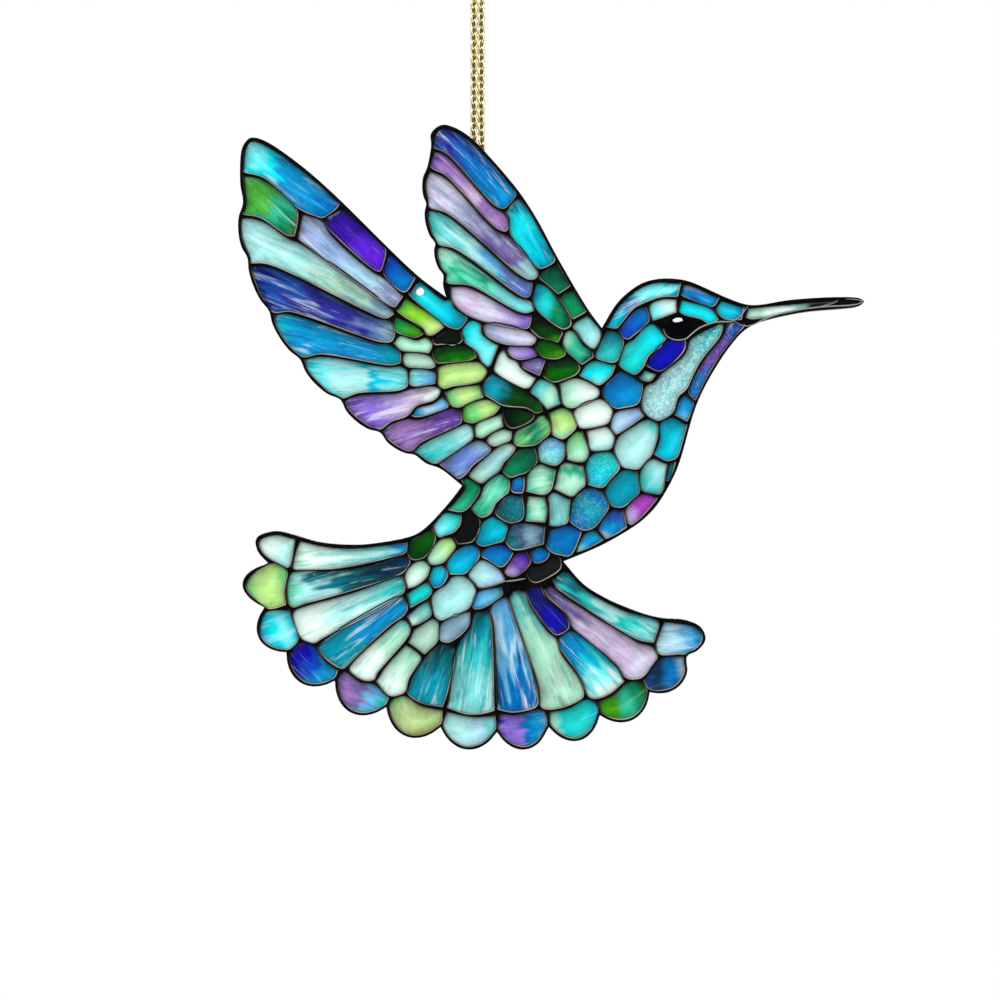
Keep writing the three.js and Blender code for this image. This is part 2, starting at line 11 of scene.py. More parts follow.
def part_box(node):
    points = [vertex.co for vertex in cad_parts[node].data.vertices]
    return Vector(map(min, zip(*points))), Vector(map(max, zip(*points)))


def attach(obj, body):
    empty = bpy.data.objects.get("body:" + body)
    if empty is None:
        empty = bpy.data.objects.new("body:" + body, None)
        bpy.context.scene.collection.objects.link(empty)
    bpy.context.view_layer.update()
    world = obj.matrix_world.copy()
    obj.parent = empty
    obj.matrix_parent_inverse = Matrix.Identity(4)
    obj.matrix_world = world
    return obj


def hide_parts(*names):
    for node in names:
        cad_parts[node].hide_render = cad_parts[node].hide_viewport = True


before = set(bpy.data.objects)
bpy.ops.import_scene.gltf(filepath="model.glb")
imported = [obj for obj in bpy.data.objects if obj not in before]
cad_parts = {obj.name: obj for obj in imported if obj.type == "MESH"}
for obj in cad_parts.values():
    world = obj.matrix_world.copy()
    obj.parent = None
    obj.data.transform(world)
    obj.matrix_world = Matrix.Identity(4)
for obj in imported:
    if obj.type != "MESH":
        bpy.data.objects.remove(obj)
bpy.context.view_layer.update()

MM = 0.001

# The painted fields are placed on the same grid as the part's outline: x to the right and y
# down, a quarter of a millimetre to a step.
GRID_STEP = 0.25
GRID_PLUMB = 477.5
GRID_TOP = 124.5
BIRD_DROP = 41.2

PLATE_BACK = -1.35
PLATE_FRONT = -4.35
LEADING_FRONT = -5.25
RIB_FRONT = -5.15

# Colours of the glass paints
PALETTE = {
    "black": (8, 9, 10), "charcoal": (20, 25, 28), "white_mint": (226, 246, 238),
    "pale_mint": (170, 226, 198), "grey_mint": (168, 205, 188), "pale_aqua": (170, 226, 226),
    "pale_cyan": (120, 232, 238), "bright_cyan": (10, 216, 228), "cyan": (0, 190, 214),
    "turquoise": (22, 200, 196), "turquoise_mint": (70, 205, 180), "teal_cyan": (0, 146, 170),
    "teal_pale": (122, 190, 186), "teal": (0, 112, 128), "deep_teal": (4, 84, 92),
    "navy_teal": (8, 52, 84), "aqua_light": (116, 206, 206), "aqua_mid": (48, 190, 190),
    "aqua_mint": (112, 220, 190), "aqua_grey": (150, 200, 205), "deep_aqua": (50, 150, 150),
    "glitter_aqua": (146, 204, 206), "sea_green": (44, 178, 142), "emerald": (6, 134, 88),
    "emerald_deep": (0, 84, 60), "forest": (2, 58, 10), "forest_black": (2, 20, 6),
    "leaf_deep": (4, 92, 6), "leaf": (60, 150, 14), "fern": (74, 172, 62),
    "green": (20, 146, 66), "light_green": (116, 204, 122), "lime": (140, 206, 52),
    "pale_lime": (182, 222, 134), "lime_grey": (176, 202, 138), "olive": (104, 112, 66),
    "olive_pale": (166, 178, 92), "sky_blue": (96, 176, 222), "sky_grey": (146, 182, 206),
    "pale_blue": (172, 212, 234), "azure": (4, 142, 200), "azure_deep": (0, 110, 182),
    "royal": (6, 66, 180), "denim": (30, 84, 170), "indigo": (46, 46, 150),
    "navy": (14, 22, 116), "ultramarine": (10, 12, 168), "slate": (50, 90, 116),
    "slate_blue": (96, 118, 176), "grey_blue": (120, 156, 176), "periwinkle": (104, 134, 210),
    "periwinkle_pale": (150, 178, 220), "violet_deep": (56, 10, 158), "violet": (88, 30, 200),
    "violet_soft": (140, 108, 206), "violet_grey": (118, 104, 164),
    "violet_pink": (160, 62, 180), "purple": (108, 70, 164), "mauve": (158, 118, 186),
    "mauve_dark": (92, 66, 120), "lilac": (178, 160, 214), "lilac_grey": (160, 166, 200),
    "pale_lilac": (206, 202, 226), "pink_lilac": (206, 184, 216),
}
STREAK_WHITE = (232, 248, 246)
# Colour of the painted highlight on the ribs' flanks that face the light
RIB_HIGHLIGHT_TAUPE = (192, 178, 166)

# Each field: the line that its paint follows, from x, y to x, y, the colours along that line,
# how much of it is streaked, where that isn't PLAIN_STREAKS, and how grainy it is, if at all
PLAIN_STREAKS = 0.03
LEFT_WING_FEATHERS = [
    (257, 157, 318, 200, "pale_cyan bright_cyan azure azure azure_deep", 0.38),
    (256, 193, 290, 224, "light_green fern fern sea_green emerald olive", 0.3),
    (305, 226, 390, 296, "lilac_grey periwinkle_pale pale_blue lilac_grey", 0.5),
    (259, 238, 383, 312, "pale_aqua pale_aqua grey_mint grey_blue", 0.45),
    (268, 284, 383, 331, "navy denim indigo indigo slate_blue grey_blue", 0.4),
    (290, 331, 392, 356, "cyan azure azure teal_cyan", 0.45),
    (322, 374, 396, 379, "cyan pale_cyan pale_aqua cyan pale_cyan aqua_light", 0.5),
    (415, 378, 425, 378, "aqua_light sky_blue", 0.3),
    (364, 411, 428, 396, "purple violet_soft lilac pink_lilac white_mint", 0.4),
    (418, 411, 442, 404, "azure pale_blue sky_blue", 0.2),
    (401, 437, 452, 418, "violet_grey mauve purple purple", 0.5),
    (427, 453, 465, 432, "aqua_mid aqua_light pale_aqua", 0.4),
    (450, 468, 482, 449, "slate_blue periwinkle sky_grey", 0.35),
    (482, 473, 505, 452, "grey_mint aqua_grey grey_mint", 0.3),
]
LEFT_WING_EDGE = [
    (338, 225, 377, 261, "navy violet_deep violet violet", 0.06),
    (394, 266, 403, 277, "royal azure_deep"),
    (422, 290, 458, 321, "teal_cyan bright_cyan cyan teal_cyan", 0.08),
    (470, 331, 490, 354, "bright_cyan pale_cyan", 0.06),
    (502, 359, 525, 380, "white_mint white_mint"),
    (405, 300, 425, 325, "fern lime pale_lime"),
    (400, 325, 415, 333, "green leaf"),
    (403, 343, 423, 346, "pale_mint"),
    (409, 357, 425, 362, "grey_mint"),
    (448, 332, 448, 344, "forest_black forest_black", 0),
    (454, 345, 457, 362, "forest_black forest leaf_deep leaf", 0.0),
    (450, 375, 472, 372, "pale_lime"),
    (456, 397, 474, 393, "light_green pale_lime light_green", 0.05),
    (472, 412, 487, 410, "leaf light_green pale_lime light_green", 0.05),
    (493, 387, 533, 404, "teal_cyan teal_cyan forest forest leaf_deep"),
    (483, 429, 498, 421, "pale_mint"),
    (492, 440, 504, 434, "grey_mint"),
    (511, 418, 526, 416, "forest_black forest", 0.0),
]
RIGHT_WING_FEATHERS = [
    (448, 139, 500, 198, "indigo denim azure_deep azure_deep azure", 0.55),
    (440, 162, 498, 221, "purple mauve pink_lilac mauve mauve", 0.3),
    (437, 188, 526, 271,
     "pink_lilac pale_lilac lilac_grey violet_grey violet_grey aqua_grey", 0.4),
    (440, 225, 523, 288, "aqua_mid aqua_light pale_aqua sky_blue slate_blue periwinkle", 0.5),
    (448, 259, 523, 308, "pale_mint aqua_mint sea_green aqua_mint aqua_light pale_cyan", 0.45),
    (466, 300, 523, 321, "pale_lilac pink_lilac pale_lilac lilac violet_soft", 0.3),
    (488, 331, 528, 339, "lilac_grey pale_lilac", 0.3),
    (512, 353, 530, 354, "lilac violet_soft", 0.2),
    (527, 365, 538, 366, "violet_grey", 0.2),
]
RIGHT_WING_EDGE = [
    (516, 212, 543, 255, "teal_cyan bright_cyan bright_cyan cyan teal_cyan", 0.4),
    (558, 270, 557, 292, "forest emerald_deep emerald"),
    (572, 291, 573, 314, "emerald_deep emerald green"),
    (541, 301, 563, 309, "teal_cyan turquoise emerald emerald_deep"),
    (545, 321, 550, 340, "forest_black forest_black forest leaf", 0.0),
    (549, 341, 553, 358, "forest leaf_deep leaf", 0.0),
    (560, 358, 564, 378, "forest_black forest leaf_deep leaf_deep", 0.0),
    (567, 343, 586, 353, "pale_mint sea_green emerald_deep", 0.1),
    (586, 327, 591, 336, "aqua_light pale_aqua", 0.1),
]
HEAD = [
    (611, 340, 608, 352, "teal aqua_mid"),
    (613, 321, 672, 288, "cyan cyan azure pale_cyan pale_cyan cyan", 0.45),
    (628, 330, 641, 314, "royal azure_deep", 0.06),
    (658, 310, 668, 307, "pale_cyan white_mint", 0.1),
    (688, 308, 707, 316, "bright_cyan", 0.06),
    (692, 291, 712, 298, "azure azure_deep azure azure_deep", 0.15),
    (724, 306, 737, 310, "cyan cyan azure"),
    (634, 358, 652, 340, "turquoise bright_cyan"),
    (654, 361, 673, 349, "ultramarine", 0.0),
    (646, 373, 650, 374, "deep_aqua grey_mint", 0),
    (659, 400, 716, 334, "glitter_aqua glitter_aqua aqua_mid", 0.1, 1.0),
    (735, 331, 696, 394, "indigo denim purple purple azure_deep azure_deep", 0.3, 0.2),
    (686, 397, 686, 414, "azure_deep azure sky_blue", 0.1),
]
BREAST = [
    (596, 366, 598, 382, "aqua_mid bright_cyan pale_cyan"),
    (617, 385, 624, 393, "azure_deep azure", 0.0),
    (571, 393, 584, 392, "pale_mint white_mint"),
    (538, 390, 556, 400, "aqua_mid aqua_light pale_mint aqua_light"),
    (590, 412, 596, 415, "white_mint"),
    (620, 423, 631, 417, "pale_blue periwinkle_pale"),
    (560, 412, 562, 434, "light_green pale_lime pale_mint", 0.05),
    (526, 436, 541, 426, "light_green emerald light_green", 0.3),
    (576, 442, 577, 453, "light_green pale_mint"),
    (599, 434, 601, 441, "white_mint pale_aqua"),
    (630, 456, 645, 432, "pale_aqua pale_aqua pale_aqua aqua_mid"),
    (666, 450, 674, 432, "cyan cyan teal_cyan"),
    (549, 455, 554, 449, "aqua_light sky_blue", 0.1, 0.5),
    (514, 468, 528, 458, "emerald emerald_deep"),
    (528, 482, 552, 476, "aqua_mint pale_mint sea_green", 0.35),
    (572, 468, 571, 490, "pale_mint sea_green pale_mint pale_mint pale_mint", 0.12),
    (599, 472, 604, 464, "cyan turquoise", 0.06, 0.3),
    (517, 486, 519, 482, "denim azure"),
    (620, 492, 627, 484, "teal_cyan teal_cyan"),
    (650, 481, 658, 470, "aqua_mid pale_aqua", 0.06),
    (669, 480, 673, 466, "teal", 0),
    (508, 509, 513, 508, "deep_teal teal", 0.03, 0.15),
    (524, 512, 548, 507, "turquoise_mint pale_mint aqua_mint", 0.4),
    (558, 504, 558, 516, "aqua_light teal_pale aqua_light", 0.3),
    (585, 514, 592, 505, "azure_deep teal_cyan azure_deep", 0.03, 0.3),
    (635, 514, 646, 504, "lilac violet_pink violet_pink"),
    (612, 536, 614, 514, "pale_blue azure denim navy", 0.1),
    (457, 505, 470, 492, "sea_green emerald"),
    (482, 508, 500, 485, "sea_green aqua_mint sea_green", 0.35),
    (442, 529, 455, 520, "pale_cyan turquoise"),
    (464, 537, 471, 521, "black", 0),
    (489, 535, 493, 529, "teal_cyan cyan"),
    (519, 537, 534, 536, "teal slate grey_blue slate", 0.2, 0.1),
    (560, 550, 566, 529, "azure azure_deep azure_deep royal", 0.02),
    (588, 550, 592, 536, "pale_cyan azure teal_cyan", 0.1),
]
RUMP = [
    (427, 535, 418, 551, "leaf_deep forest", 0.0),
    (446, 545, 436, 557, "pale_lime pale_mint"),
    (467, 554, 456, 565, "azure cyan"),
    (496, 562, 500, 546, "azure azure_deep royal"),
    (538, 553, 541, 556, "azure_deep", 0.0),
    (511, 570, 524, 555, "lilac purple violet_deep"),
    (536, 574, 553, 564, "charcoal", 0),
    (483, 573, 492, 577, "pale_aqua pale_blue", 0.1),
    (421, 568, 414, 580, "pale_mint white_mint"),
    (439, 572, 438, 580, "cyan azure"),
    (424, 588, 415, 600, "turquoise"),
    (457, 593, 448, 603, "pale_aqua pale_aqua", 0.08),
    (424, 608, 418, 619, "aqua_mid teal_pale white_mint"),
    (427, 629, 422, 641, "grey_mint"),
    (446, 631, 462, 619, "sky_grey grey_blue sky_grey", 0.1),
    (478, 601, 494, 593, "azure sky_blue deep_aqua", 0.06),
]
TAIL_RAYS = [
    (305, 556, 402, 547, "pale_mint white_mint pale_aqua aqua_light azure", 0.5),
    (303, 588, 402, 563, "aqua_mint pale_aqua teal deep_teal navy_teal navy_teal", 0.5),
    (314, 621, 398, 584, "white_mint white_mint pale_aqua aqua_light aqua_mid", 0.5),
    (338, 651, 400, 605, "teal_cyan teal_cyan azure azure azure", 0.5),
    (364, 670, 402, 629, "white_mint white_mint pale_mint aqua_light", 0.4),
    (391, 681, 409, 656, "white_mint pale_mint", 0.3),
    (429, 686, 440, 657, "teal_cyan teal_cyan teal deep_teal", 0.4),
    (471, 694, 480, 625, "pale_aqua aqua_light aqua_mid teal_cyan teal", 0.5),
    (517, 690, 500, 612, "azure_deep azure_deep sky_blue pale_blue sky_blue azure", 0.6),
    (559, 686, 519, 602, "pale_mint grey_mint pale_mint pale_mint aqua_light deep_aqua", 0.45),
    (536, 598, 556, 621, "navy navy ultramarine navy", 0.1),
    (571, 646, 602, 678, "azure azure cyan pale_cyan white_mint", 0.4),
    (558, 600, 634, 657, "mauve_dark violet_grey pink_lilac pink_lilac pale_lilac", 0.35),
    (565, 585, 643, 629, "teal aqua_mid pale_aqua turquoise aqua_light", 0.5),
]
TAIL_TIPS = [
    (240, 587, 279, 581, "light_green pale_lime pale_lime light_green", 0.15),
    (252, 635, 286, 623, "cyan bright_cyan pale_cyan cyan", 0.25),
    (296, 658, 322, 684, "violet_deep ultramarine royal azure azure", 0.3),
    (342, 690, 376, 708, "violet_grey mauve violet_grey sky_blue aqua_mid", 0.3),
    (406, 706, 416, 738, "light_green lime_grey lime_grey olive_pale", 0.15),
    (450, 730, 490, 734, "pale_aqua pale_aqua pale_blue aqua_light", 0.2),
    (502, 732, 548, 726, "royal violet_soft violet_soft azure_deep azure sky_blue", 0.25),
    (558, 732, 594, 716, "pale_mint turquoise turquoise turquoise cyan", 0.1),
    (606, 714, 646, 690, "leaf leaf sea_green emerald leaf_deep", 0.08),
    (656, 678, 690, 672, "denim navy_teal azure_deep sky_grey", 0.12),
]
TAIL_CORNERS = [
    (270, 545, 281, 551, "white_mint pale_aqua", 0.2),
    (668, 640, 700, 637, "pale_aqua pale_blue sky_blue azure", 0.5),
]
BEAK = [
    (751, 312, 838, 300, "aqua_grey grey_mint white_mint aqua_grey charcoal black", 0.2),
]

REGIONS = {
    "glass_left_wing": LEFT_WING_FEATHERS + LEFT_WING_EDGE,
    "glass_right_wing": RIGHT_WING_FEATHERS + RIGHT_WING_EDGE,
    "glass_head_and_breast": HEAD + BREAST,
    "glass_rump_and_tail": RUMP + TAIL_RAYS + TAIL_TIPS + TAIL_CORNERS,
    "beak_inlay": BEAK,
}
HOLE_PLACE = (420, 291.5)
HOLE_RADIUS = 1.0


def linear(colour):
    share = np.asarray(colour, dtype=float) / 255
    return np.where(share <= 0.04045, share / 12.92, ((share + 0.055) / 1.055) ** 2.4)


def plane(grid_x, grid_y):
    """Millimetres to the right of the chain and above the hook for a place on the grid."""
    return np.array([
        (grid_x - GRID_PLUMB) * GRID_STEP,
        -BIRD_DROP - (grid_y - GRID_TOP) * GRID_STEP,
    ])


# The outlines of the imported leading, read from its front face


def front_loops(node):
    """The closed rows of corners round the flat front face of a CAD node, in millimetres."""
    work = bmesh.new()
    work.from_mesh(node.data)
    bmesh.ops.transform(work, matrix=node.matrix_world, verts=work.verts)
    bmesh.ops.remove_doubles(work, verts=work.verts, dist=1e-6)
    front = min(vert.co.y for vert in work.verts)
    follows = {}
    for face in work.faces:
        if all(abs(vert.co.y - front) < 1e-6 for vert in face.verts):
            for loop in face.loops:
                if any(abs(v.co.y - front) > 1e-6 for f in loop.edge.link_faces for v in f.verts):
                    follows[loop.vert.index] = loop.link_loop_next.vert.index
    places = {v.index: (v.co.x / MM, v.co.z / MM) for v in work.verts}
    work.free()
    loops = []
    while follows:
        start, here = follows.popitem()
        loop = [places[start]]
        while here != start:
            loop.append(places[here])
            here = follows.pop(here)
        loops.append(np.array(loop))
    return loops


def smooth_loop(loop, spacing, corner):
    """A closed row drawn smoothly through its corners, sharp where it turns more than corner."""
    count = len(loop)
    steps = np.roll(loop, -1, axis=0) - loop
    headings = np.arctan2(steps[:, 1], steps[:, 0])
    turns = np.abs((headings - np.roll(headings, 1) + np.pi) % (2 * np.pi) - np.pi)
    sharp = turns > math.radians(corner)
    points = []
    for i in range(count):
        p1, p2 = loop[i], loop[(i + 1) % count]
        p0 = loop[i - 1] if not sharp[i] else p1 - (p2 - p1)
        p3 = loop[(i + 2) % count] if not sharp[(i + 1) % count] else p2 + (p2 - p1)
        points += curve(p0, p1, p2, p3, max(1, round(np.linalg.norm(p2 - p1) / spacing)))
    return np.array(points)


def curve(p0, p1, p2, p3, pieces):
    """Points of a smooth curve from p1 to just before p2, led by p0 before it and p3 after it."""
    knots = [0.0]
    for a, b in ((p0, p1), (p1, p2), (p2, p3)):
        knots.append(knots[-1] + math.sqrt(max(np.linalg.norm(b - a), 1e-6)))
    t0, t1, t2, t3 = knots
    points = []
    for k in range(pieces):
        t = t1 + (t2 - t1) * k / pieces
        a1 = (t1 - t) / (t1 - t0) * p0 + (t - t0) / (t1 - t0) * p1
        a2 = (t2 - t) / (t2 - t1) * p1 + (t - t1) / (t2 - t1) * p2
        a3 = (t3 - t) / (t3 - t2) * p2 + (t - t2) / (t3 - t2) * p3
        b1 = (t2 - t) / (t2 - t0) * a1 + (t - t0) / (t2 - t0) * a2
        b2 = (t3 - t) / (t3 - t1) * a2 + (t - t1) / (t3 - t1) * a3
        points.append((t2 - t) / (t2 - t1) * b1 + (t - t1) / (t2 - t1) * b2)
    return points


def area(loop):
    x, z = loop[:, 0], loop[:, 1]
    return 0.5 * np.sum(x * np.roll(z, -1) - np.roll(x, -1) * z)


def outward_normals(loop):
    along = np.roll(loop, -1, axis=0) - np.roll(loop, 1, axis=0)
    along /= np.maximum(np.linalg.norm(along, axis=1, keepdims=True), 1e-9)
    side = 1 if area(loop) > 0 else -1
    return side * np.column_stack([along[:, 1], -along[:, 0]])


def nearest_on_loop(points, loop):
    """Distance from each point to a closed row, and the direction from the row's inside out."""
    a = loop
    b = np.roll(loop, -1, axis=0)
    along = b - a
    length = np.maximum(np.sum(along**2, axis=1), 1e-12)
    share = np.clip(np.sum((points[:, None] - a) * along, axis=2) / length, 0, 1)
    gap = points[:, None] - (a + share[..., None] * along)
    distance = np.linalg.norm(gap, axis=2)
    index = np.argmin(distance, axis=1)
    normals = outward_normals(loop)
    return distance[np.arange(len(points)), index], normals[index]


def inside(points, loop):
    a = loop
    b = np.roll(loop, -1, axis=0)
    px, pz = points[:, 0, None], points[:, 1, None]
    spans = (a[:, 1] > pz) != (b[:, 1] > pz)
    rise = np.where(a[:, 1] == b[:, 1], 1e-12, b[:, 1] - a[:, 1])
    crossing = a[:, 0] + (pz - a[:, 1]) * (b[:, 0] - a[:, 0]) / rise
    return np.sum(spans & (px < crossing), axis=1) % 2 == 1


def smoothstep(low, high, value):
    t = np.clip((value - low) / (high - low), 0, 1)
    return t * t * (3 - 2 * t)


def wave_noise(x, y, seed, octaves=3):
    """Smooth noise of about -1 to 1 from sums of waves, the same on every run."""
    rng = np.random.default_rng(seed)
    total = np.zeros_like(x)
    weight = 0.0
    for octave in range(octaves):
        size = 1.9**octave
        for _ in range(5):
            angle, phase = rng.uniform(0, 2 * np.pi, 2)
            reach = size * rng.uniform(0.7, 1.3)
            total += np.sin((x * math.cos(angle) + y * math.sin(angle)) * reach + phase) / size
        weight += math.sqrt(5 / 2) / size
    return np.clip(total / weight / 1.6, -1, 1)


# Objects


def new_object(name, mesh, material):
    thing = bpy.data.objects.new(name, mesh)
    bpy.context.scene.collection.objects.link(thing)
    mesh.materials.clear()
    mesh.materials.append(material)
    return thing


def new_mesh(name, vertices, faces, smooth=True):
    mesh = bpy.data.meshes.new(name)
    mesh.from_pydata([tuple(v) for v in vertices], [], [tuple(f) for f in faces])
    mesh.update()
    mesh.polygons.foreach_set("use_smooth", [smooth] * len(mesh.polygons))
    return mesh


def faced_outwards(mesh):
    work = bmesh.new()
    work.from_mesh(mesh)
    bmesh.ops.recalc_face_normals(work, faces=work.faces)
    work.to_mesh(mesh)
    work.free()
    return mesh


def band(here, ahead, count):
    """Faces between two closed rings of count corners, which start at here and at ahead."""
    pairs = [(i, (i + 1) % count) for i in range(count)]
    return [(here + i, here + j, ahead + j, ahead + i) for i, j in pairs]


def add_number(mesh, name, values):
    layer = mesh.attributes.new(name, "FLOAT", "POINT")
    layer.data.foreach_set("value", np.asarray(values, dtype=np.float32))


def add_vector(mesh, name, values):
    layer = mesh.attributes.new(name, "FLOAT_VECTOR", "POINT")
    layer.data.foreach_set("vector", np.asarray(values, dtype=np.float32).ravel())


def add_colour(mesh, name, values):
    layer = mesh.color_attributes.new(name, "FLOAT_COLOR", "POINT")
    full = np.ones((len(values), 4), dtype=np.float32)
    full[:, :3] = values
    layer.data.foreach_set("color", full.ravel())


# Materials


class Nodes:
    """Short calls for building one material's nodes."""

    def __init__(self, name):
        self.material = bpy.data.materials.new(name)
        self.material.use_nodes = True
        self.tree = self.material.node_tree
        self.tree.nodes.clear()
        self.shader = self.add("ShaderNodeBsdfPrincipled")
        output = self.add("ShaderNodeOutputMaterial")
        self.tree.links.new(self.shader.outputs[0], output.inputs["Surface"])

    def add(self, kind, **settings):
        node = self.tree.nodes.new(kind)
        for key, value in settings.items():
            setattr(node, key, value)
        return node

    def feed(self, socket, value):
        if isinstance(value, bpy.types.NodeSocket):
            self.tree.links.new(value, socket)
        elif value is not None:
            socket.default_value = value

    def attribute(self, name, output="Color"):
        node = self.add("ShaderNodeAttribute", attribute_name=name)
        return node.outputs[output]

    def object_place(self):
        return self.add("ShaderNodeTexCoord").outputs["Object"]

    def stretch(self, vector, scale):
        node = self.add("ShaderNodeMapping")
        self.feed(node.inputs["Vector"], vector)
        node.inputs["Scale"].default_value = scale
        return node.outputs[0]

    def noise(self, vector, scale, detail=3.0, roughness=0.55, distortion=0.0):
        node = self.add("ShaderNodeTexNoise")
        for key, value in (("Vector", vector), ("Scale", scale), ("Detail", detail),
                           ("Roughness", roughness), ("Distortion", distortion)):
            self.feed(node.inputs[key], value)
        return node.outputs["Fac"]

    def range(self, value, low, high, to_low=0.0, to_high=1.0):
        node = self.add("ShaderNodeMapRange", interpolation_type="SMOOTHSTEP")
        for key, number in (("Value", value), ("From Min", low), ("From Max", high),
                            ("To Min", to_low), ("To Max", to_high)):
            self.feed(node.inputs[key], number)
        return node.outputs["Result"]

    def math(self, operation, a, b=None):
        node = self.add("ShaderNodeMath", operation=operation)
        self.feed(node.inputs[0], a)
        self.feed(node.inputs[1], b)
        return node.outputs[0]

    def mix(self, share, a, b, blend="MIX"):
        node = self.add("ShaderNodeMix", data_type="RGBA", blend_type=blend)
        for key, value in (("Factor", share), ("A", a), ("B", b)):
            self.feed(node.inputs[key], value)
        return node.outputs["Result"]

    def bump(self, height, strength, distance):
        node = self.add("ShaderNodeBump")
        node.inputs["Strength"].default_value = strength
        node.inputs["Distance"].default_value = distance
        self.feed(node.inputs["Height"], height)
        self.feed(self.shader.inputs["Normal"], node.outputs[0])

    def set(self, **values):
        for key, value in values.items():
            self.feed(self.shader.inputs[key.replace("_", " ")], value)


def rgba(colour, alpha=1.0):
    return (*[float(v) for v in linear(colour)], alpha)


def painted_glass():
    """Glassy paint: colours along each field, light and dark strokes, and a painted shade along
    the upper edge and round the rim.
    """
    n = Nodes("painted_glass")
    flow = n.attribute("flow", "Vector")
    tint_and_glow = n.attribute("tint_and_glow")
    streaks = n.attribute("streaks", "Fac")
    grain = n.attribute("grain", "Fac")
    stroke = n.noise(n.stretch(flow, (0.06, 0.6, 1.0)), 1.0, 5.0, 0.6, 0.8)
    hair = n.noise(n.stretch(flow, (0.1, 1.7, 1.7)), 1.0, 3.0, 0.6, 0.5)
    dim = n.noise(n.stretch(flow, (0.1, 0.6, 1.3)), 1.0, 4.0, 0.6, 1.0)
    patch = n.noise(n.stretch(flow, (0.3, 0.45, 2.1)), 1.0, 4.0, 0.62, 1.2)
    speck = n.noise(n.object_place(), 1700.0, 3.0, 0.7)
    deep = n.mix(1.0, n.mix(1.0, tint_and_glow, tint_and_glow, "MULTIPLY"), rgba((215, 255, 236)), "MULTIPLY")
    colour = n.mix(n.range(patch, 0.4, 0.68, 0.0, 0.25), tint_and_glow, deep)
    dark = n.math("MULTIPLY", n.range(dim, 0.48, 0.66), streaks)
    colour = n.mix(dark, colour, n.mix(1.0, deep, rgba((150, 208, 216)), "MULTIPLY"))
    light = n.math("MULTIPLY", n.range(stroke, 0.55, 0.7), streaks)
    colour = n.mix(light, colour, rgba(STREAK_WHITE))
    thin = n.math("MULTIPLY", n.range(hair, 0.6, 0.74, 0.0, 0.45), streaks)
    colour = n.mix(thin, colour, rgba(STREAK_WHITE))
    sparkle = n.math("MULTIPLY", n.range(speck, 0.48, 0.7, 0.0, 0.55), grain)
    colour = n.mix(sparkle, colour, rgba((226, 248, 248)))
    hollow = n.math("MULTIPLY", n.range(speck, 0.3, 0.5, 0.32, 0.0), grain)
    colour = n.mix(hollow, colour, rgba((30, 70, 90)))
    # Painted shade: the shade attribute darkens the paint to near black
    colour = n.mix(n.attribute("shade", "Fac"), colour, rgba((1, 3, 6)))
    n.set(Base_Color=colour, Roughness=n.range(stroke, 0.3, 0.8, 0.14, 0.26))
    n.set(IOR=1.49, Specular_IOR_Level=0.1)
    height = n.math("ADD", stroke, n.math("MULTIPLY", speck, grain))
    n.bump(height, 0.25, 0.00008)
    return n.material


def black_leading():
    n = Nodes("black_leading")
    place = n.object_place()
    cloud = n.noise(place, 900.0, 3.0, 0.6)
    fine = n.noise(place, 5200.0, 2.0, 0.6)
    base = n.mix(n.range(cloud, 0.4, 0.65), rgba((2, 2, 3)), rgba((9, 9, 11)))
    # Painted highlight: the ribs' lit upper flanks turn light taupe
    base = n.mix(n.attribute("rib_highlight", "Fac"), base, rgba(RIB_HIGHLIGHT_TAUPE))
    n.set(Base_Color=base, Roughness=n.range(fine, 0.3, 0.7, 0.2, 0.4))
    n.set(Specular_IOR_Level=0.04, IOR=1.5)
    n.bump(n.math("ADD", cloud, fine), 0.2, 0.00005)
    return n.material


def clear_acrylic():
    n = Nodes("clear_acrylic")
    place = n.object_place()
    haze = n.noise(place, 300.0, 2.0, 0.5)
    n.set(Base_Color=n.mix(haze, rgba((236, 250, 248)), rgba((250, 255, 254))))
    n.set(Roughness=n.range(n.noise(place, 2500.0, 2.0), 0.4, 0.8, 0.02, 0.07))
    n.set(IOR=1.49, Transmission_Weight=1.0, Specular_IOR_Level=0.5)
    n.bump(haze, 0.1, 0.00004)
    return n.material


def gold_metal(name, light, dark):
    n = Nodes(name)
    place = n.object_place()
    wear = n.noise(place, 1600.0, 3.0, 0.6)
    fine = n.noise(place, 9000.0, 2.0, 0.7)
    n.set(Base_Color=n.mix(n.range(wear, 0.35, 0.7), rgba(light), rgba(dark)), Metallic=1.0)
    n.set(Roughness=n.range(fine, 0.3, 0.7, 0.2, 0.38))
    n.bump(fine, 0.15, 0.00003)
    return n.material


def gloss(name, colour, other, scale=1500.0, relief=(0.1, 0.00003), **settings):
    """A glossy stuff, clouded from one colour to the other."""
    n = Nodes(name)
    cloud = n.noise(n.object_place(), scale)
    n.set(Base_Color=n.mix(cloud, rgba(colour), rgba(other)))
    n.set(Roughness=n.range(cloud, 0.3, 0.7, 0.08, 0.2), **settings)
    n.bump(cloud, *relief)
    return n.material


GLASS = painted_glass()
BLACK = black_leading()
CLEAR = clear_acrylic()
GOLD = gold_metal("pale_gold_chain", (238, 227, 188), (200, 186, 138))
BRASS = gold_metal("pale_gold_rings", (214, 190, 118), (190, 162, 88))
# Dark colour of the chain's core line, a painted shadow between the links
LINK_SHADOW_DARK = gold_metal("chain_link_shadow", (112, 100, 58), (78, 70, 40))
GLUE = gloss("clear_glue", (232, 236, 228), (250, 250, 246), 700.0, (0.3, 0.0001),
             Transmission_Weight=0.7, IOR=1.45)
EYE_BLACK = gloss("eye_black", (0, 0, 1), (2, 2, 4), Specular_IOR_Level=0.05)
# The eye's glint is a painted highlight
EYE_GLINT_WHITE = gloss("eye_glint", (222, 229, 233), (196, 208, 216), Specular_IOR_Level=0.3)
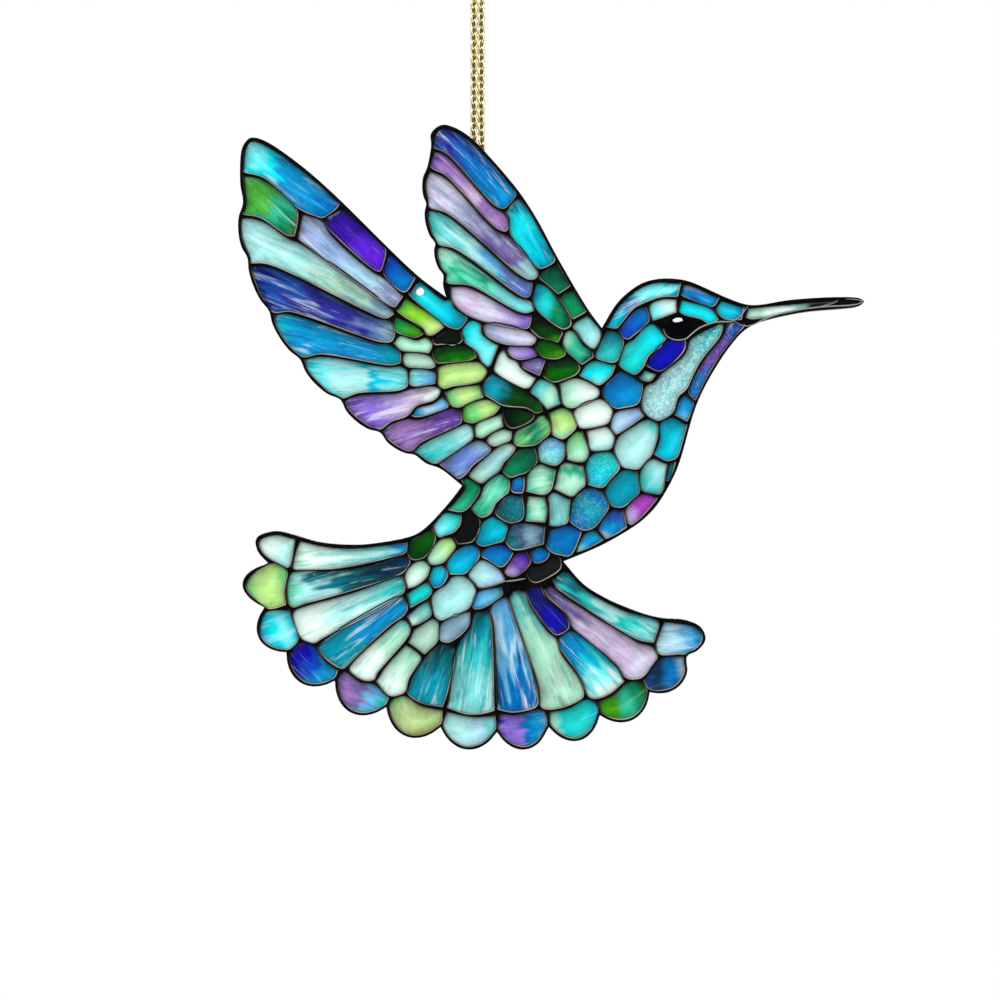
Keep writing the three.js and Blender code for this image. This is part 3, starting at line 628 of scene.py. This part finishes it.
# Light grey of the fine lines, painted highlights along the leading
LINE_HIGHLIGHT_GREY = gloss("fine_line_highlight", (164, 158, 150), (120, 116, 110), Specular_IOR_Level=0.2)

# The plate and the leading: lengths in millimetres, and the turns in degrees beyond which a
# drawn row keeps a sharp corner

PLATE_ROUNDING = 0.15
RIB_ROUNDING = 0.3
RIB_SUNK = 0.3
OUTLINE_SPACING = 0.6
OUTLINE_CORNER = 75.0
OPENING_SPACING = 0.45
OPENING_CORNER = 70.0
LEAST_INSET = 0.04
FREE_SHARE = 0.86


def into_body(loops):
    """At each point of the rows, the direction into the material: the first row is the rim."""
    return [-outward_normals(loop) if i == 0 else outward_normals(loop)
            for i, loop in enumerate(loops)]


def free_insets(loops, wanted):
    """How far each point can move into the material without nearing another part of a row."""
    dense = np.vstack([
        loop + (np.roll(loop, -1, axis=0) - loop) * share
        for loop in loops for share in (0.0, 0.25, 0.5, 0.75)
    ])
    tree = KDTree(len(dense))
    for i, (x, z) in enumerate(dense):
        tree.insert((x, z, 0), i)
    tree.balance()
    insets = []
    for loop, inward in zip(loops, into_body(loops)):
        row = np.full(len(loop), LEAST_INSET)
        for i, (point, direction) in enumerate(zip(loop, inward)):
            for share in (1.0, 0.85, 0.7, 0.55, 0.4, 0.25):
                x, z = point + direction * wanted * share
                if tree.find((x, z, 0))[2] > FREE_SHARE * wanted * share:
                    row[i] = wanted * share
                    break
        for _ in range(2):
            row = np.minimum(row, (np.roll(row, 1) + 2 * row + np.roll(row, -1)) / 4)
        insets.append(row)
    return insets


def slab(name, loops, back, front, rounding, steps, material):
    """A flat body standing in XZ with a rounded front edge, from rows of points in mm."""
    inward = into_body(loops)
    insets = free_insets(loops, rounding)
    sections = [(0.0, back), (0.0, front + rounding)]
    for k in range(1, steps + 1):
        angle = math.pi / 2 * k / steps
        sections.append((1 - math.cos(angle), front + rounding * (1 - math.sin(angle))))
    vertices = []
    faces = []
    smooth = []
    caps = {0: [], len(sections) - 1: []}
    for loop, direction, row in zip(loops, inward, insets):
        count = len(loop)
        first = len(vertices)
        for k, (share, y) in enumerate(sections):
            ring = loop + direction * (row * share)[:, None]
            if k in caps:
                caps[k].append((len(vertices), ring))
            vertices += [(x, y, z) for x, z in ring]
        for k in range(len(sections) - 1):
            faces += band(first + k * count, first + (k + 1) * count, count)
            smooth += [True] * count
    for rings in caps.values():
        corners = [Vector(point) for _, ring in rings for point in ring]
        numbers = [first + i for first, ring in rings for i in range(len(ring))]
        edges = []
        offset = 0
        for _, ring in rings:
            edges += [(offset + i, offset + (i + 1) % len(ring)) for i in range(len(ring))]
            offset += len(ring)
        placed, _, triangles, origin, _, _ = delaunay_2d_cdt(corners, edges, [], 0, 1e-6)
        middles = np.array([sum((placed[i] for i in t), Vector((0, 0))) / 3 for t in triangles])
        wanted = inside(middles, rings[0][1])
        for _, ring in rings[1:]:
            low, high = ring.min(axis=0), ring.max(axis=0)
            near = np.flatnonzero(np.all((middles > low) & (middles < high), axis=1))
            wanted[near[inside(middles[near], ring)]] = False
        for triangle, kept in zip(triangles, wanted):
            if kept and all(origin[i] for i in triangle):
                faces.append(tuple(numbers[origin[i][0]] for i in triangle))
                smooth.append(False)
    mesh = new_mesh(name, np.array(vertices) * MM, faces)
    mesh.polygons.foreach_set("use_smooth", smooth)
    return new_object(name, faced_outwards(mesh), material)


raw_loops = sorted(front_loops(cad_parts["leading"]), key=lambda loop: -abs(area(loop)))
outline = smooth_loop(raw_loops[0], OUTLINE_SPACING, OUTLINE_CORNER)
openings = [smooth_loop(loop, OPENING_SPACING, OPENING_CORNER) for loop in raw_loops[1:]]

hole_middle = plane(*HOLE_PLACE)
turn = np.linspace(0, 2 * np.pi, 40, endpoint=False)
hole = hole_middle + HOLE_RADIUS * np.column_stack([np.cos(turn), np.sin(turn)])

plate = slab("plate", [outline, hole], PLATE_BACK, PLATE_FRONT, PLATE_ROUNDING, 2, CLEAR)
ribs = slab("leading_ribs", [outline, *openings], PLATE_FRONT + RIB_SUNK, RIB_FRONT,
            RIB_ROUNDING, 4, BLACK)


def paint_rib_highlight(thing):
    """A painted highlight: a thin light line on the ribs' upper flanks that face the light,
    beside the fields and not on the rim.
    """
    mesh = thing.data
    count = len(mesh.vertices)
    places = np.empty(count * 3)
    mesh.vertices.foreach_get("co", places)
    places = places.reshape(-1, 3) / MM
    normals = np.empty(count * 3)
    mesh.vertices.foreach_get("normal", normals)
    normals = normals.reshape(-1, 3)
    flat = places[:, [0, 2]]
    to_rim = np.concatenate([nearest_on_loop(part, outline)[0]
                             for part in np.array_split(flat, max(1, count // 2000))])
    depth = (PLATE_FRONT - places[:, 1]) / (PLATE_FRONT - RIB_FRONT)
    flank = smoothstep(0.25, 0.5, depth) * (1 - smoothstep(0.96, 1.0, depth))
    facing = smoothstep(-0.3, 0.5, normals[:, 2] * 0.9 - normals[:, 0] * 0.35)
    away = smoothstep(0.5, 0.8, to_rim)
    patches = 0.62 + 0.38 * wave_noise(*(flat.T * 0.5), 5)
    add_number(mesh, "rib_highlight", flank * facing * away * patches)


paint_rib_highlight(ribs)

# The painted fields

# Direction to the light, up and to the left, that the painted shade and light follow
LIT_SIDE = np.array([-0.42, 0.91])

# The paint starts at PAINT_BASE above the plate, goes in under the ribs by PAINT_TUCK and rises
# towards the field's middle by DOME_LEAST or, in wider fields, up to DOME_MOST.
PAINT_BASE = 0.36
PAINT_TUCK = 0.22
TUCK_DROP = 0.02
DOME_LEAST = 0.12
DOME_MOST = 0.36
DOME_GROWTH = 0.08
DOME_REACH = 1.6
LEAST_REACH = 0.3
FIELD_SPACING = 0.3
HOLE_CLEAR = 0.15

# How the paint looks: WOBBLE and FINGERS are shares of the line's length, the painted shades are
# between 0 and 1, their reaches are in mm, and FLOW_STEP keeps two fields' strokes apart.
WOBBLE = 0.1
FINGERS = 0.36
SHADE_MOST = 0.97
SHADE_REACH = 0.32
RIM_SHADE = 0.5
RIM_REACH = 0.15
FLOW_STEP = 7.31


def field_points(loop, spacing):
    """Points of a triangular grid inside a closed row, clear of the row itself."""
    low, high = loop.min(axis=0), loop.max(axis=0)
    rise = spacing * math.sqrt(3) / 2
    rows = np.arange(low[1], high[1] + rise, rise)
    columns = np.arange(low[0] - spacing, high[0] + spacing, spacing)
    x, z = np.meshgrid(columns, rows)
    x = x + (np.arange(len(rows)) % 2)[:, None] * spacing / 2
    grid = np.column_stack([x.ravel(), z.ravel()])
    grid = grid[inside(grid, loop)]
    distance, _ = nearest_on_loop(grid, loop)
    return grid[distance > spacing * 0.55]


def spread(values, faces, rounds, held=None):
    """The values on a mesh's corners, softened towards those of their neighbours."""
    sides = [side for face in faces for side in zip(face, [*face[1:], face[0]])]
    pairs = {(min(side), max(side)) for side in sides}
    one, other = np.array(sorted(pairs)).T
    count = np.bincount(one, minlength=len(values)) + np.bincount(other, minlength=len(values))
    soft = values
    for _ in range(rounds):
        near = np.bincount(one, soft[other], len(values))
        near = near + np.bincount(other, soft[one], len(values))
        mean = (soft + near / np.maximum(count, 1)) / 2
        soft = np.where(held, values, mean) if held is not None else mean
    return soft


def field_surface(loop):
    """Corners and faces of one field, each corner's distance in from the ribs and its way out."""
    edge = loop + outward_normals(loop) * PAINT_TUCK
    points = np.vstack([edge, loop, field_points(loop, FIELD_SPACING)])
    count = len(loop)
    lines = [(first + i, first + (i + 1) % count) for first in (0, count) for i in range(count)]
    holed = inside(hole_middle[None], loop)[0]
    if holed:
        far = np.linalg.norm(points - hole_middle, axis=1) > HOLE_RADIUS + HOLE_CLEAR
        far[: 2 * count] = True
        points = np.vstack([points[far], hole])
        first = len(points) - len(hole)
        lines += [(first + i, first + (i + 1) % len(hole)) for i in range(len(hole))]
    distance, outward = nearest_on_loop(points, loop)
    distance[:count] = -PAINT_TUCK
    corners = [Vector(p) for p in points]
    verts, _, faces, _, _, _ = delaunay_2d_cdt(corners, lines, [list(range(count))], 1, 1e-5)
    placed = np.array([tuple(v) for v in verts])
    if len(placed) != len(points):
        distance, outward = nearest_on_loop(placed, loop)
        distance[~inside(placed, loop)] *= -1
    if holed:
        middles = np.array([placed[list(f)].mean(axis=0) for f in faces])
        in_hole = np.linalg.norm(middles - hole_middle, axis=1) < HOLE_RADIUS - 0.02
        faces = [f for f, is_open in zip(faces, in_hole) if not is_open]
    return placed, faces, distance, outward


def blend(tints, shares):
    """The colours that a row of palette names runs through, at each share of its length."""
    colours = np.array([linear(PALETTE[name]) for name in tints.split()])
    t = shares * (len(colours) - 1)
    at = np.minimum(t.astype(int), max(len(colours) - 2, 0))
    part = smoothstep(0.1, 0.9, t - at)[:, None]
    after = np.minimum(at + 1, len(colours) - 1)
    return colours[at] * (1 - part) + colours[after] * part


def painted_field(loop, field, seed):
    """Corners, faces and paint values, painted shade and light among them, of the field that
    fills one opening of the leading.
    """
    x0, y0, x1, y1, tints, streaks, grain = (*field, *(PLAIN_STREAKS, 0.0)[len(field) - 5 :])
    start, end = plane(x0, y0), plane(x1, y1)
    placed, faces, distance, outward = field_surface(loop)
    widest = max(distance.max(), LEAST_REACH)
    rise = min(DOME_MOST, DOME_LEAST + DOME_GROWTH * widest)
    share = np.clip(distance / min(widest, DOME_REACH), 0, 1)
    lift = PAINT_BASE + spread(rise * share * (2 - share), faces, 10, distance < 0.01)
    lift = np.where(distance < -PAINT_TUCK / 2, PAINT_BASE - TUCK_DROP, lift)
    facing = spread(outward @ LIT_SIDE, faces, 14)
    distance = spread(distance, faces, 8, distance < 0.01)

    # The colours run along the field's line, with ends like fingers where it is streaked
    along = end - start
    along = along / max(np.linalg.norm(along), 0.5)
    across = np.array([-along[1], along[0]])
    u = (placed - start) @ along
    v = (placed - (start + end) / 2) @ across
    wobble = WOBBLE * wave_noise(*(placed.T * 0.5), seed)
    fingers = FINGERS * streaks * wave_noise(u * 0.22, v * 2.4, seed + 500, 2)
    reach = max(u.max() - u.min(), 0.1)
    paint = blend(tints, np.clip((u - u.min()) / reach + wobble + fingers, 0, 1))

    # Painted shade under the upper edge and round the rim, and painted light in the middle and
    # towards the lower side
    depth = np.maximum(distance, 0)
    shade = np.exp(-depth / (SHADE_REACH + 0.2 * widest)) * smoothstep(-0.4, 0.75, facing)
    rim = RIM_SHADE * np.exp(-depth / RIM_REACH)
    shade = np.clip(1 - (1 - shade * SHADE_MOST) * (1 - rim), 0, 0.98)
    lower = smoothstep(-0.6, 0.9, -facing)
    glow = smoothstep(0.1, 0.9, distance / widest) * (0.35 + 0.65 * lower)
    return {
        "points": np.column_stack([placed[:, 0], PLATE_FRONT - lift, placed[:, 1]]) * MM,
        "faces": faces,
        # The paint's colour with the painted light (glow) multiplied in
        "tint_and_glow": np.clip(paint * (0.8 + 0.32 * glow)[:, None], 0, 1),
        "streaks": np.full(len(u), streaks),
        "grain": np.full(len(u), grain),
        "shade": shade,
        "flow": np.column_stack([u, v, np.full(len(u), seed * FLOW_STEP)]),
    }


def opening_for(field, free):
    """The opening of the leading that the middle of a field's line lies in, or the nearest."""
    middle = (plane(field[0], field[1]) + plane(field[2], field[3])) / 2
    best = None
    for index in free:
        loop = openings[index]
        if np.any(np.abs(loop.mean(axis=0) - middle) > 25):
            continue
        distance, _ = nearest_on_loop(middle[None], loop)
        gap = -distance[0] if inside(middle[None], loop)[0] else distance[0]
        if best is None or gap < best[0]:
            best = (gap, index)
    return best[1]


def glass_region(name, fields, free, seed):
    parts = []
    for field in fields:
        index = opening_for(field, free)
        free.discard(index)
        seed += 1
        parts.append(painted_field(openings[index], field, seed))
    vertices = np.vstack([part["points"] for part in parts])
    faces = []
    first = 0
    for part in parts:
        for face in part["faces"]:
            corners = [first + i for i in face]
            a, b, c = (vertices[i] for i in corners[:3])
            normal_y = (b[2] - a[2]) * (c[0] - a[0]) - (b[0] - a[0]) * (c[2] - a[2])
            faces.append(corners if normal_y < 0 else corners[::-1])
        first += len(part["points"])
    mesh = new_mesh(name, vertices, faces)
    add_colour(mesh, "tint_and_glow", np.vstack([part["tint_and_glow"] for part in parts]))
    for key in ("streaks", "grain", "shade"):
        add_number(mesh, key, np.concatenate([part[key] for part in parts]))
    add_vector(mesh, "flow", np.vstack([part["flow"] for part in parts]))
    return new_object(name, mesh, GLASS), seed


free_openings = set(range(len(openings)))
glass = []
field_seed = 0
for region, fields in REGIONS.items():
    thing, field_seed = glass_region(region, fields, free_openings, field_seed)
    glass.append(thing)

# The eye, with its glint, and the fine light lines of the face: the glint and the lines are
# painted highlights


def smooth_row(points, spacing):
    """An open row drawn smoothly through the given points."""
    points = [np.array(p, dtype=float) for p in points]
    ends = [2 * points[0] - points[1], *points, 2 * points[-1] - points[-2]]
    row = []
    for i in range(len(points) - 1):
        length = np.linalg.norm(points[i + 1] - points[i])
        row += curve(*ends[i : i + 4], max(2, round(length / spacing)))
    row.append(points[-1])
    return np.array(row)


def dome(name, loop, base, height, material):
    """A cushion of the given outline, standing proud of the plane y = base."""
    middle = loop.mean(axis=0)
    rings = 7
    vertices = []
    for k in range(rings):
        angle = math.pi / 2 * k / rings
        ring = middle + (loop - middle) * math.cos(angle)
        rise = height * math.sin(angle)
        vertices += [(x * MM, (base - rise) * MM, z * MM) for x, z in ring]
    vertices.append((middle[0] * MM, (base - height) * MM, middle[1] * MM))
    count = len(loop)
    faces = []
    for k in range(rings - 1):
        faces += band(k * count, (k + 1) * count, count)
    last = (rings - 1) * count
    faces += [(last + i, last + (i + 1) % count, len(vertices) - 1) for i in range(count)]
    return new_object(name, new_mesh(name, vertices, faces), material)


def tube(name, rows, material, sides=8):
    """Round lines: each row holds x, y, z and the radius at every point, in millimetres."""
    vertices = []
    faces = []
    for row in rows:
        first = len(vertices)
        count = len(row)
        for i, (x, y, z, radius) in enumerate(row):
            before, after = row[max(i - 1, 0)], row[min(i + 1, count - 1)]
            along = Vector([after[k] - before[k] for k in range(3)]).normalized()
            side = along.cross(Vector((0, 1, 0))).normalized()
            up = side.cross(along)
            for k in range(sides):
                angle = 2 * math.pi * k / sides
                place = side * math.cos(angle) * radius + up * math.sin(angle) * radius
                vertices.append(((x + place.x) * MM, (y + place.y) * MM, (z + place.z) * MM))
        for i in range(count - 1):
            faces += band(first + i * sides, first + (i + 1) * sides, sides)
        faces.append(tuple(first + k for k in reversed(range(sides))))
        faces.append(tuple(first + (count - 1) * sides + k for k in range(sides)))
    return new_object(name, new_mesh(name, vertices, faces), material)


def grid_loop(points, spacing):
    return smooth_loop(np.array([plane(x, y) for x, y in points]), spacing, EYE_CORNER)


EYE_OUTLINE = [(664, 327), (667, 320), (673, 316.5), (681, 315.5), (688, 317), (694, 321),
               (694, 328), (690, 334), (683, 338), (675, 337.5), (668, 333.5)]
GLINT_OUTLINE = [(672.5, 320), (676, 318), (681.5, 318.2), (683, 320.5), (679, 322), (674, 322)]
# Fine light lines, painted highlights: under the eye, along the beak and one on the rump
FACE_LINES = [
    [(663.4, 329), (665.8, 334.6), (671.5, 338.8), (679, 340), (686, 338.6), (692.2, 333.4),
     (699.7, 327.8), (710.8, 323.4), (720, 321.6), (727.5, 321.7), (734, 320.4), (741.5, 314.8),
     (748, 306)],
    [(734, 320.4), (739, 324.1), (746, 326), (753.5, 324.6), (763, 319.8), (776, 314.8),
     (794.5, 310.4), (822, 306.8), (850, 305.2), (859, 303.6), (862.5, 301.5), (859, 299.9),
     (846, 298.9)],
    [(504, 581.5), (514, 580.5), (526, 578.5)],
]

EYE_BASE = RIB_FRONT + 0.1
EYE_HEIGHT = 0.3
EYE_SPACING = 0.25
EYE_CORNER = 60.0
GLINT_BASE = RIB_FRONT - 0.14
GLINT_HEIGHT = 0.12
GLINT_SPACING = 0.15
LINE_RADIUS = 0.19
LINE_SPACING = 0.4

eye = dome("eye", grid_loop(EYE_OUTLINE, EYE_SPACING), EYE_BASE, EYE_HEIGHT, EYE_BLACK)
# The glint: a white dome, a painted highlight on the eye
glint_loop = grid_loop(GLINT_OUTLINE, GLINT_SPACING)
glint = dome("eye_glint", glint_loop, GLINT_BASE, GLINT_HEIGHT, EYE_GLINT_WHITE)
line_rows = []
for points in FACE_LINES:
    row = smooth_row([plane(x, y) for x, y in points], LINE_SPACING)
    share = np.linspace(0, 1, len(row))
    radii = LINE_RADIUS * np.sqrt(np.clip(1.05 - (2 * share - 1) ** 2, 0.02, 1))
    line_rows.append([(x, RIB_FRONT, z, r) for (x, z), r in zip(row, radii)])
face_lines = tube("face_lines", line_rows, LINE_HIGHLIGHT_GREY)

# The chain and its fittings

HANGING_RADIUS = 4.5
HANGING_WIRE = 1.0
JUMP_RADIUS = 2.6
JUMP_WIRE = 0.8
LINK_PITCH = 1.75
LINK_WIRE = 0.42
ROUND_LINK_WIRE = 0.6
CORE_RADIUS = 0.36
LINK_WIDTH = 2.0
LINK_TURN = 27
STRAND_SPACING = 1.85
STRAND_SPREAD = 2.4
SPREAD_LENGTH = 8.0
END_LINK_PLAY = 0.3
HANGING_WIRE_SHARE = 0.98
JUMP_WIRE_SHARE = 0.96

jump_low, jump_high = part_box("jump_ring")
jump_z = (jump_low[2] + jump_high[2]) / 2 / MM


def wire_ring(half_width, half_length, wire, steps, sides, squareness=1.0):
    """Corners and faces of a closed round wire on an oval in the XZ plane, in millimetres."""
    vertices = []
    faces = []
    for i in range(steps):
        angle = 2 * math.pi * i / steps
        c, s = math.cos(angle), math.sin(angle)
        x = half_width * math.copysign(abs(c) ** squareness, c)
        z = half_length * math.copysign(abs(s) ** squareness, s)
        normal = Vector((c / max(half_width, 1e-6), 0, s / max(half_length, 1e-6))).normalized()
        for k in range(sides):
            turn = 2 * math.pi * k / sides
            vertices.append((
                x + normal.x * math.cos(turn) * wire / 2,
                math.sin(turn) * wire / 2,
                z + normal.z * math.cos(turn) * wire / 2,
            ))
    for i in range(steps):
        for k in range(sides):
            j = (k + 1) % sides
            here, ahead = i * sides, (i + 1) % steps * sides
            faces.append((here + k, ahead + k, ahead + j, here + j))
    return np.array(vertices), faces


def turned(vertices, degrees, place):
    angle = math.radians(degrees)
    c, s = math.cos(angle), math.sin(angle)
    x = vertices[:, 0] * c - vertices[:, 1] * s
    y = vertices[:, 0] * s + vertices[:, 1] * c
    return np.column_stack([x, y, vertices[:, 2]]) + np.array(place)


def joined(name, parts, material):
    vertices = np.vstack([part[0] for part in parts]) * MM
    faces = []
    first = 0
    for part_vertices, part_faces in parts:
        faces += [tuple(first + i for i in face) for face in part_faces]
        first += len(part_vertices)
    return new_object(name, faced_outwards(new_mesh(name, vertices, faces)), material)


def strand(name, sign):
    """One strand of the chain, sign -1 to the left and 1 to the right, and its dark core line, a
    painted shadow in the holes between the links.
    """
    top_x, bottom_x = STRAND_SPACING / 2, STRAND_SPREAD / 2
    top_z = -(HANGING_RADIUS - HANGING_WIRE / 2) - math.sqrt(HANGING_RADIUS**2 - top_x**2)
    bottom_z = jump_z + math.sqrt(JUMP_RADIUS**2 - bottom_x**2)
    top_end = (HANGING_WIRE + LINK_WIRE) / 2 + END_LINK_PLAY
    bottom_end = (JUMP_WIRE + LINK_WIRE) / 2 + END_LINK_PLAY
    hold = LINK_WIRE
    run = top_z - bottom_z - top_end - bottom_end + hold
    count = round(run / LINK_PITCH)
    pitch = run / count
    half_length = (pitch + hold) / 2

    def strand_x(z):
        share = min(1.0, max(0.0, 1 - (z - bottom_z) / SPREAD_LENGTH))
        return sign * (top_x + (bottom_x - top_x) * share**2)

    parts = []
    ring, faces = wire_ring(bottom_end, bottom_end, LINK_WIRE, 28, 10)
    parts.append((turned(ring, 90, (strand_x(bottom_z), 0, bottom_z)), faces))
    half_width = (LINK_WIDTH - ROUND_LINK_WIRE) / 2
    link, faces = wire_ring(half_width, half_length, ROUND_LINK_WIRE, 32, 10, 0.85)
    for i in range(count):
        z = bottom_z + bottom_end - hold + half_length + i * pitch
        turn = -LINK_TURN if i % 2 == 0 else LINK_TURN
        parts.append((turned(link, turn, (strand_x(z), 0, z)), faces))
    ring, faces = wire_ring(top_end, top_end, LINK_WIRE, 28, 10)
    parts.append((turned(ring, 90, (strand_x(top_z), 0, top_z)), faces))
    core = [(strand_x(z), 0, z, CORE_RADIUS)
            for z in np.arange(bottom_z + bottom_end, top_z - top_end, LINK_PITCH / 4)]
    return joined(name, parts, GOLD), core


left_strand, left_core = strand("chain_strand_left", -1)
right_strand, right_core = strand("chain_strand_right", 1)
# A dark tube through both strands: painted shadow in the link holes
chain_shadow_core = tube("chain_shadow_core", [left_core, right_core], LINK_SHADOW_DARK)


def flat_ring(name, radius, wire, z, steps, sides):
    ring, faces = wire_ring(radius, radius, wire, steps, sides)
    return joined(name, [(turned(ring, 0, (0, 0, z)), faces)], BRASS)


hanging_z = -HANGING_RADIUS + HANGING_WIRE / 2
top_ring = flat_ring("top_ring", HANGING_RADIUS, HANGING_WIRE * HANGING_WIRE_SHARE,
                     hanging_z, 72, 18)
lower_ring = flat_ring("lower_ring", JUMP_RADIUS, JUMP_WIRE * JUMP_WIRE_SHARE, jump_z, 56, 14)

PAD_FACE = -0.55
PAD_RADIUS = 3.2
ARCH_RADIUS = 1.85
ARCH_WIRE = 0.88
ARCH_SUNK = 0.4


def lathe(profile, steps, place):
    """Corners and faces of a round body about a line along Y, from radius and y rows."""
    vertices = []
    faces = []
    for radius, y in profile:
        for i in range(steps):
            angle = 2 * math.pi * i / steps
            vertices.append((radius * math.cos(angle), y, radius * math.sin(angle)))
    for row in range(len(profile) - 1):
        faces += band(row * steps, (row + 1) * steps, steps)
    faces.append(tuple(reversed(range(steps))))
    faces.append(tuple((len(profile) - 1) * steps + i for i in range(steps)))
    return np.array(vertices) + np.array(place), faces


bail_low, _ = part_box("bail")
bail_middle = bail_low[2] / MM + PAD_RADIUS
# The pad's section from the plate to its middle: a small bevel, a rounded edge, a shallow dish
pad_profile = [
    (PAD_RADIUS - 0.1, PLATE_BACK), (PAD_RADIUS, PLATE_BACK + 0.1), (PAD_RADIUS, PAD_FACE - 0.22),
    (PAD_RADIUS - 0.07, PAD_FACE - 0.07), (PAD_RADIUS - 0.22, PAD_FACE),
    (PAD_RADIUS - 0.9, PAD_FACE), (PAD_RADIUS - 1.05, PAD_FACE - 0.06), (1.0, PAD_FACE - 0.08),
]
arch, arch_faces = wire_ring(ARCH_RADIUS, ARCH_RADIUS, ARCH_WIRE, 40, 12)
arch = turned(arch, 90, (0, PAD_FACE, bail_middle))
arch[:, 1] = np.maximum(arch[:, 1], PAD_FACE - ARCH_SUNK)
bail_pad = joined("bail_pad", [lathe(pad_profile, 64, (0, 0, bail_middle))], BRASS)
bail_arch = joined("bail_arch", [(arch, arch_faces)], BRASS)
bead_profile = [
    (PAD_RADIUS + 0.45, PLATE_BACK), (PAD_RADIUS + 0.34, PLATE_BACK + 0.08),
    (PAD_RADIUS + 0.12, PLATE_BACK + 0.26), (PAD_RADIUS - 0.05, PLATE_BACK + 0.42),
]
bead = joined("bail_glue", [lathe(bead_profile, 64, (0, 0, bail_middle))], GLUE)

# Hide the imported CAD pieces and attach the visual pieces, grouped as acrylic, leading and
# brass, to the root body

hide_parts("acrylic_plate")
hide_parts("leading")
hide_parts("bail")
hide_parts("jump_ring")
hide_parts("chain_left")
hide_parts("chain_right")
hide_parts("hanging_ring")

acrylic_pieces = [plate, *glass, bead]
leading_pieces = [ribs, eye, glint, face_lines]
brass_pieces = [bail_pad, bail_arch, lower_ring, left_strand, right_strand, chain_shadow_core, top_ring]
for pieces, slot in ((acrylic_pieces, "acrylic"), (leading_pieces, "leading"),
                     (brass_pieces, "brass")):
    for piece in pieces:
        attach(piece, "root")

# Floor, light and camera

LENS = 100.0
SENSOR = 36.0
VIEW_WIDTH = 0.25
VIEW_MIDDLE = plane(500, 500) * MM
VIEW_DISTANCE = VIEW_WIDTH * LENS / SENSOR
FLOOR_RADIUS = 1.2
FLOOR_DROP = 0.8


def floor_material():
    n = Nodes("pale_floor")
    cloud = n.noise(n.object_place(), 30.0, 3.0)
    n.set(Base_Color=n.mix(cloud, rgba((236, 236, 234)), rgba((242, 242, 240))), Roughness=0.8)
    n.bump(cloud, 0.05, 0.001)
    return n.material


floor_points = [(FLOOR_RADIUS * math.cos(a), FLOOR_RADIUS * math.sin(a), -FLOOR_DROP)
                for a in np.linspace(0, 2 * np.pi, 64, endpoint=False)]
floor = new_object("floor", new_mesh("floor", floor_points, [range(64)]), floor_material())


def softbox(name, place, size, power):
    """A flat lamp of this size in metres and power in watts, turned towards the bird."""
    lamp = bpy.data.lights.new(name, "AREA")
    lamp.shape = "RECTANGLE"
    lamp.size, lamp.size_y = size
    lamp.energy = power
    thing = bpy.data.objects.new(name, lamp)
    thing.location = place
    away = Vector((VIEW_MIDDLE[0], 0, VIEW_MIDDLE[1])) - Vector(place)
    thing.rotation_euler = away.to_track_quat("-Z", "Y").to_euler()
    bpy.context.scene.collection.objects.link(thing)


softbox("key", (-0.55, -0.75, 0.45), (0.5, 0.35), 9.0)
softbox("fill", (0.8, -0.7, -0.05), (0.6, 0.6), 3.0)
softbox("back", (0.2, 0.9, 0.35), (0.8, 0.6), 6.0)

world = bpy.data.worlds.new("studio")
world.use_nodes = True
tree = world.node_tree
tree.nodes.clear()
path = tree.nodes.new("ShaderNodeLightPath")
choice = tree.nodes.new("ShaderNodeMixShader")
out = tree.nodes.new("ShaderNodeOutputWorld")
tree.links.new(path.outputs["Is Camera Ray"], choice.inputs[0])
for socket, strength in ((1, 0.6), (2, 1.0)):
    white = tree.nodes.new("ShaderNodeBackground")
    white.inputs["Color"].default_value = (1, 1, 1, 1)
    white.inputs["Strength"].default_value = strength
    tree.links.new(white.outputs[0], choice.inputs[socket])
tree.links.new(choice.outputs[0], out.inputs[0])
bpy.context.scene.world = world
bpy.context.scene.view_settings.view_transform = "Standard"
bpy.context.scene.view_settings.look = "None"

lens = bpy.data.cameras.new("camera")
lens.lens = LENS
lens.sensor_width = SENSOR
lens.clip_start = 0.01
camera = bpy.data.objects.new("camera", lens)
camera.location = (VIEW_MIDDLE[0], LEADING_FRONT * MM - VIEW_DISTANCE, VIEW_MIDDLE[1])
camera.rotation_euler = (math.pi / 2, 0, 0)
bpy.context.scene.collection.objects.link(camera)
bpy.context.scene.camera = camera
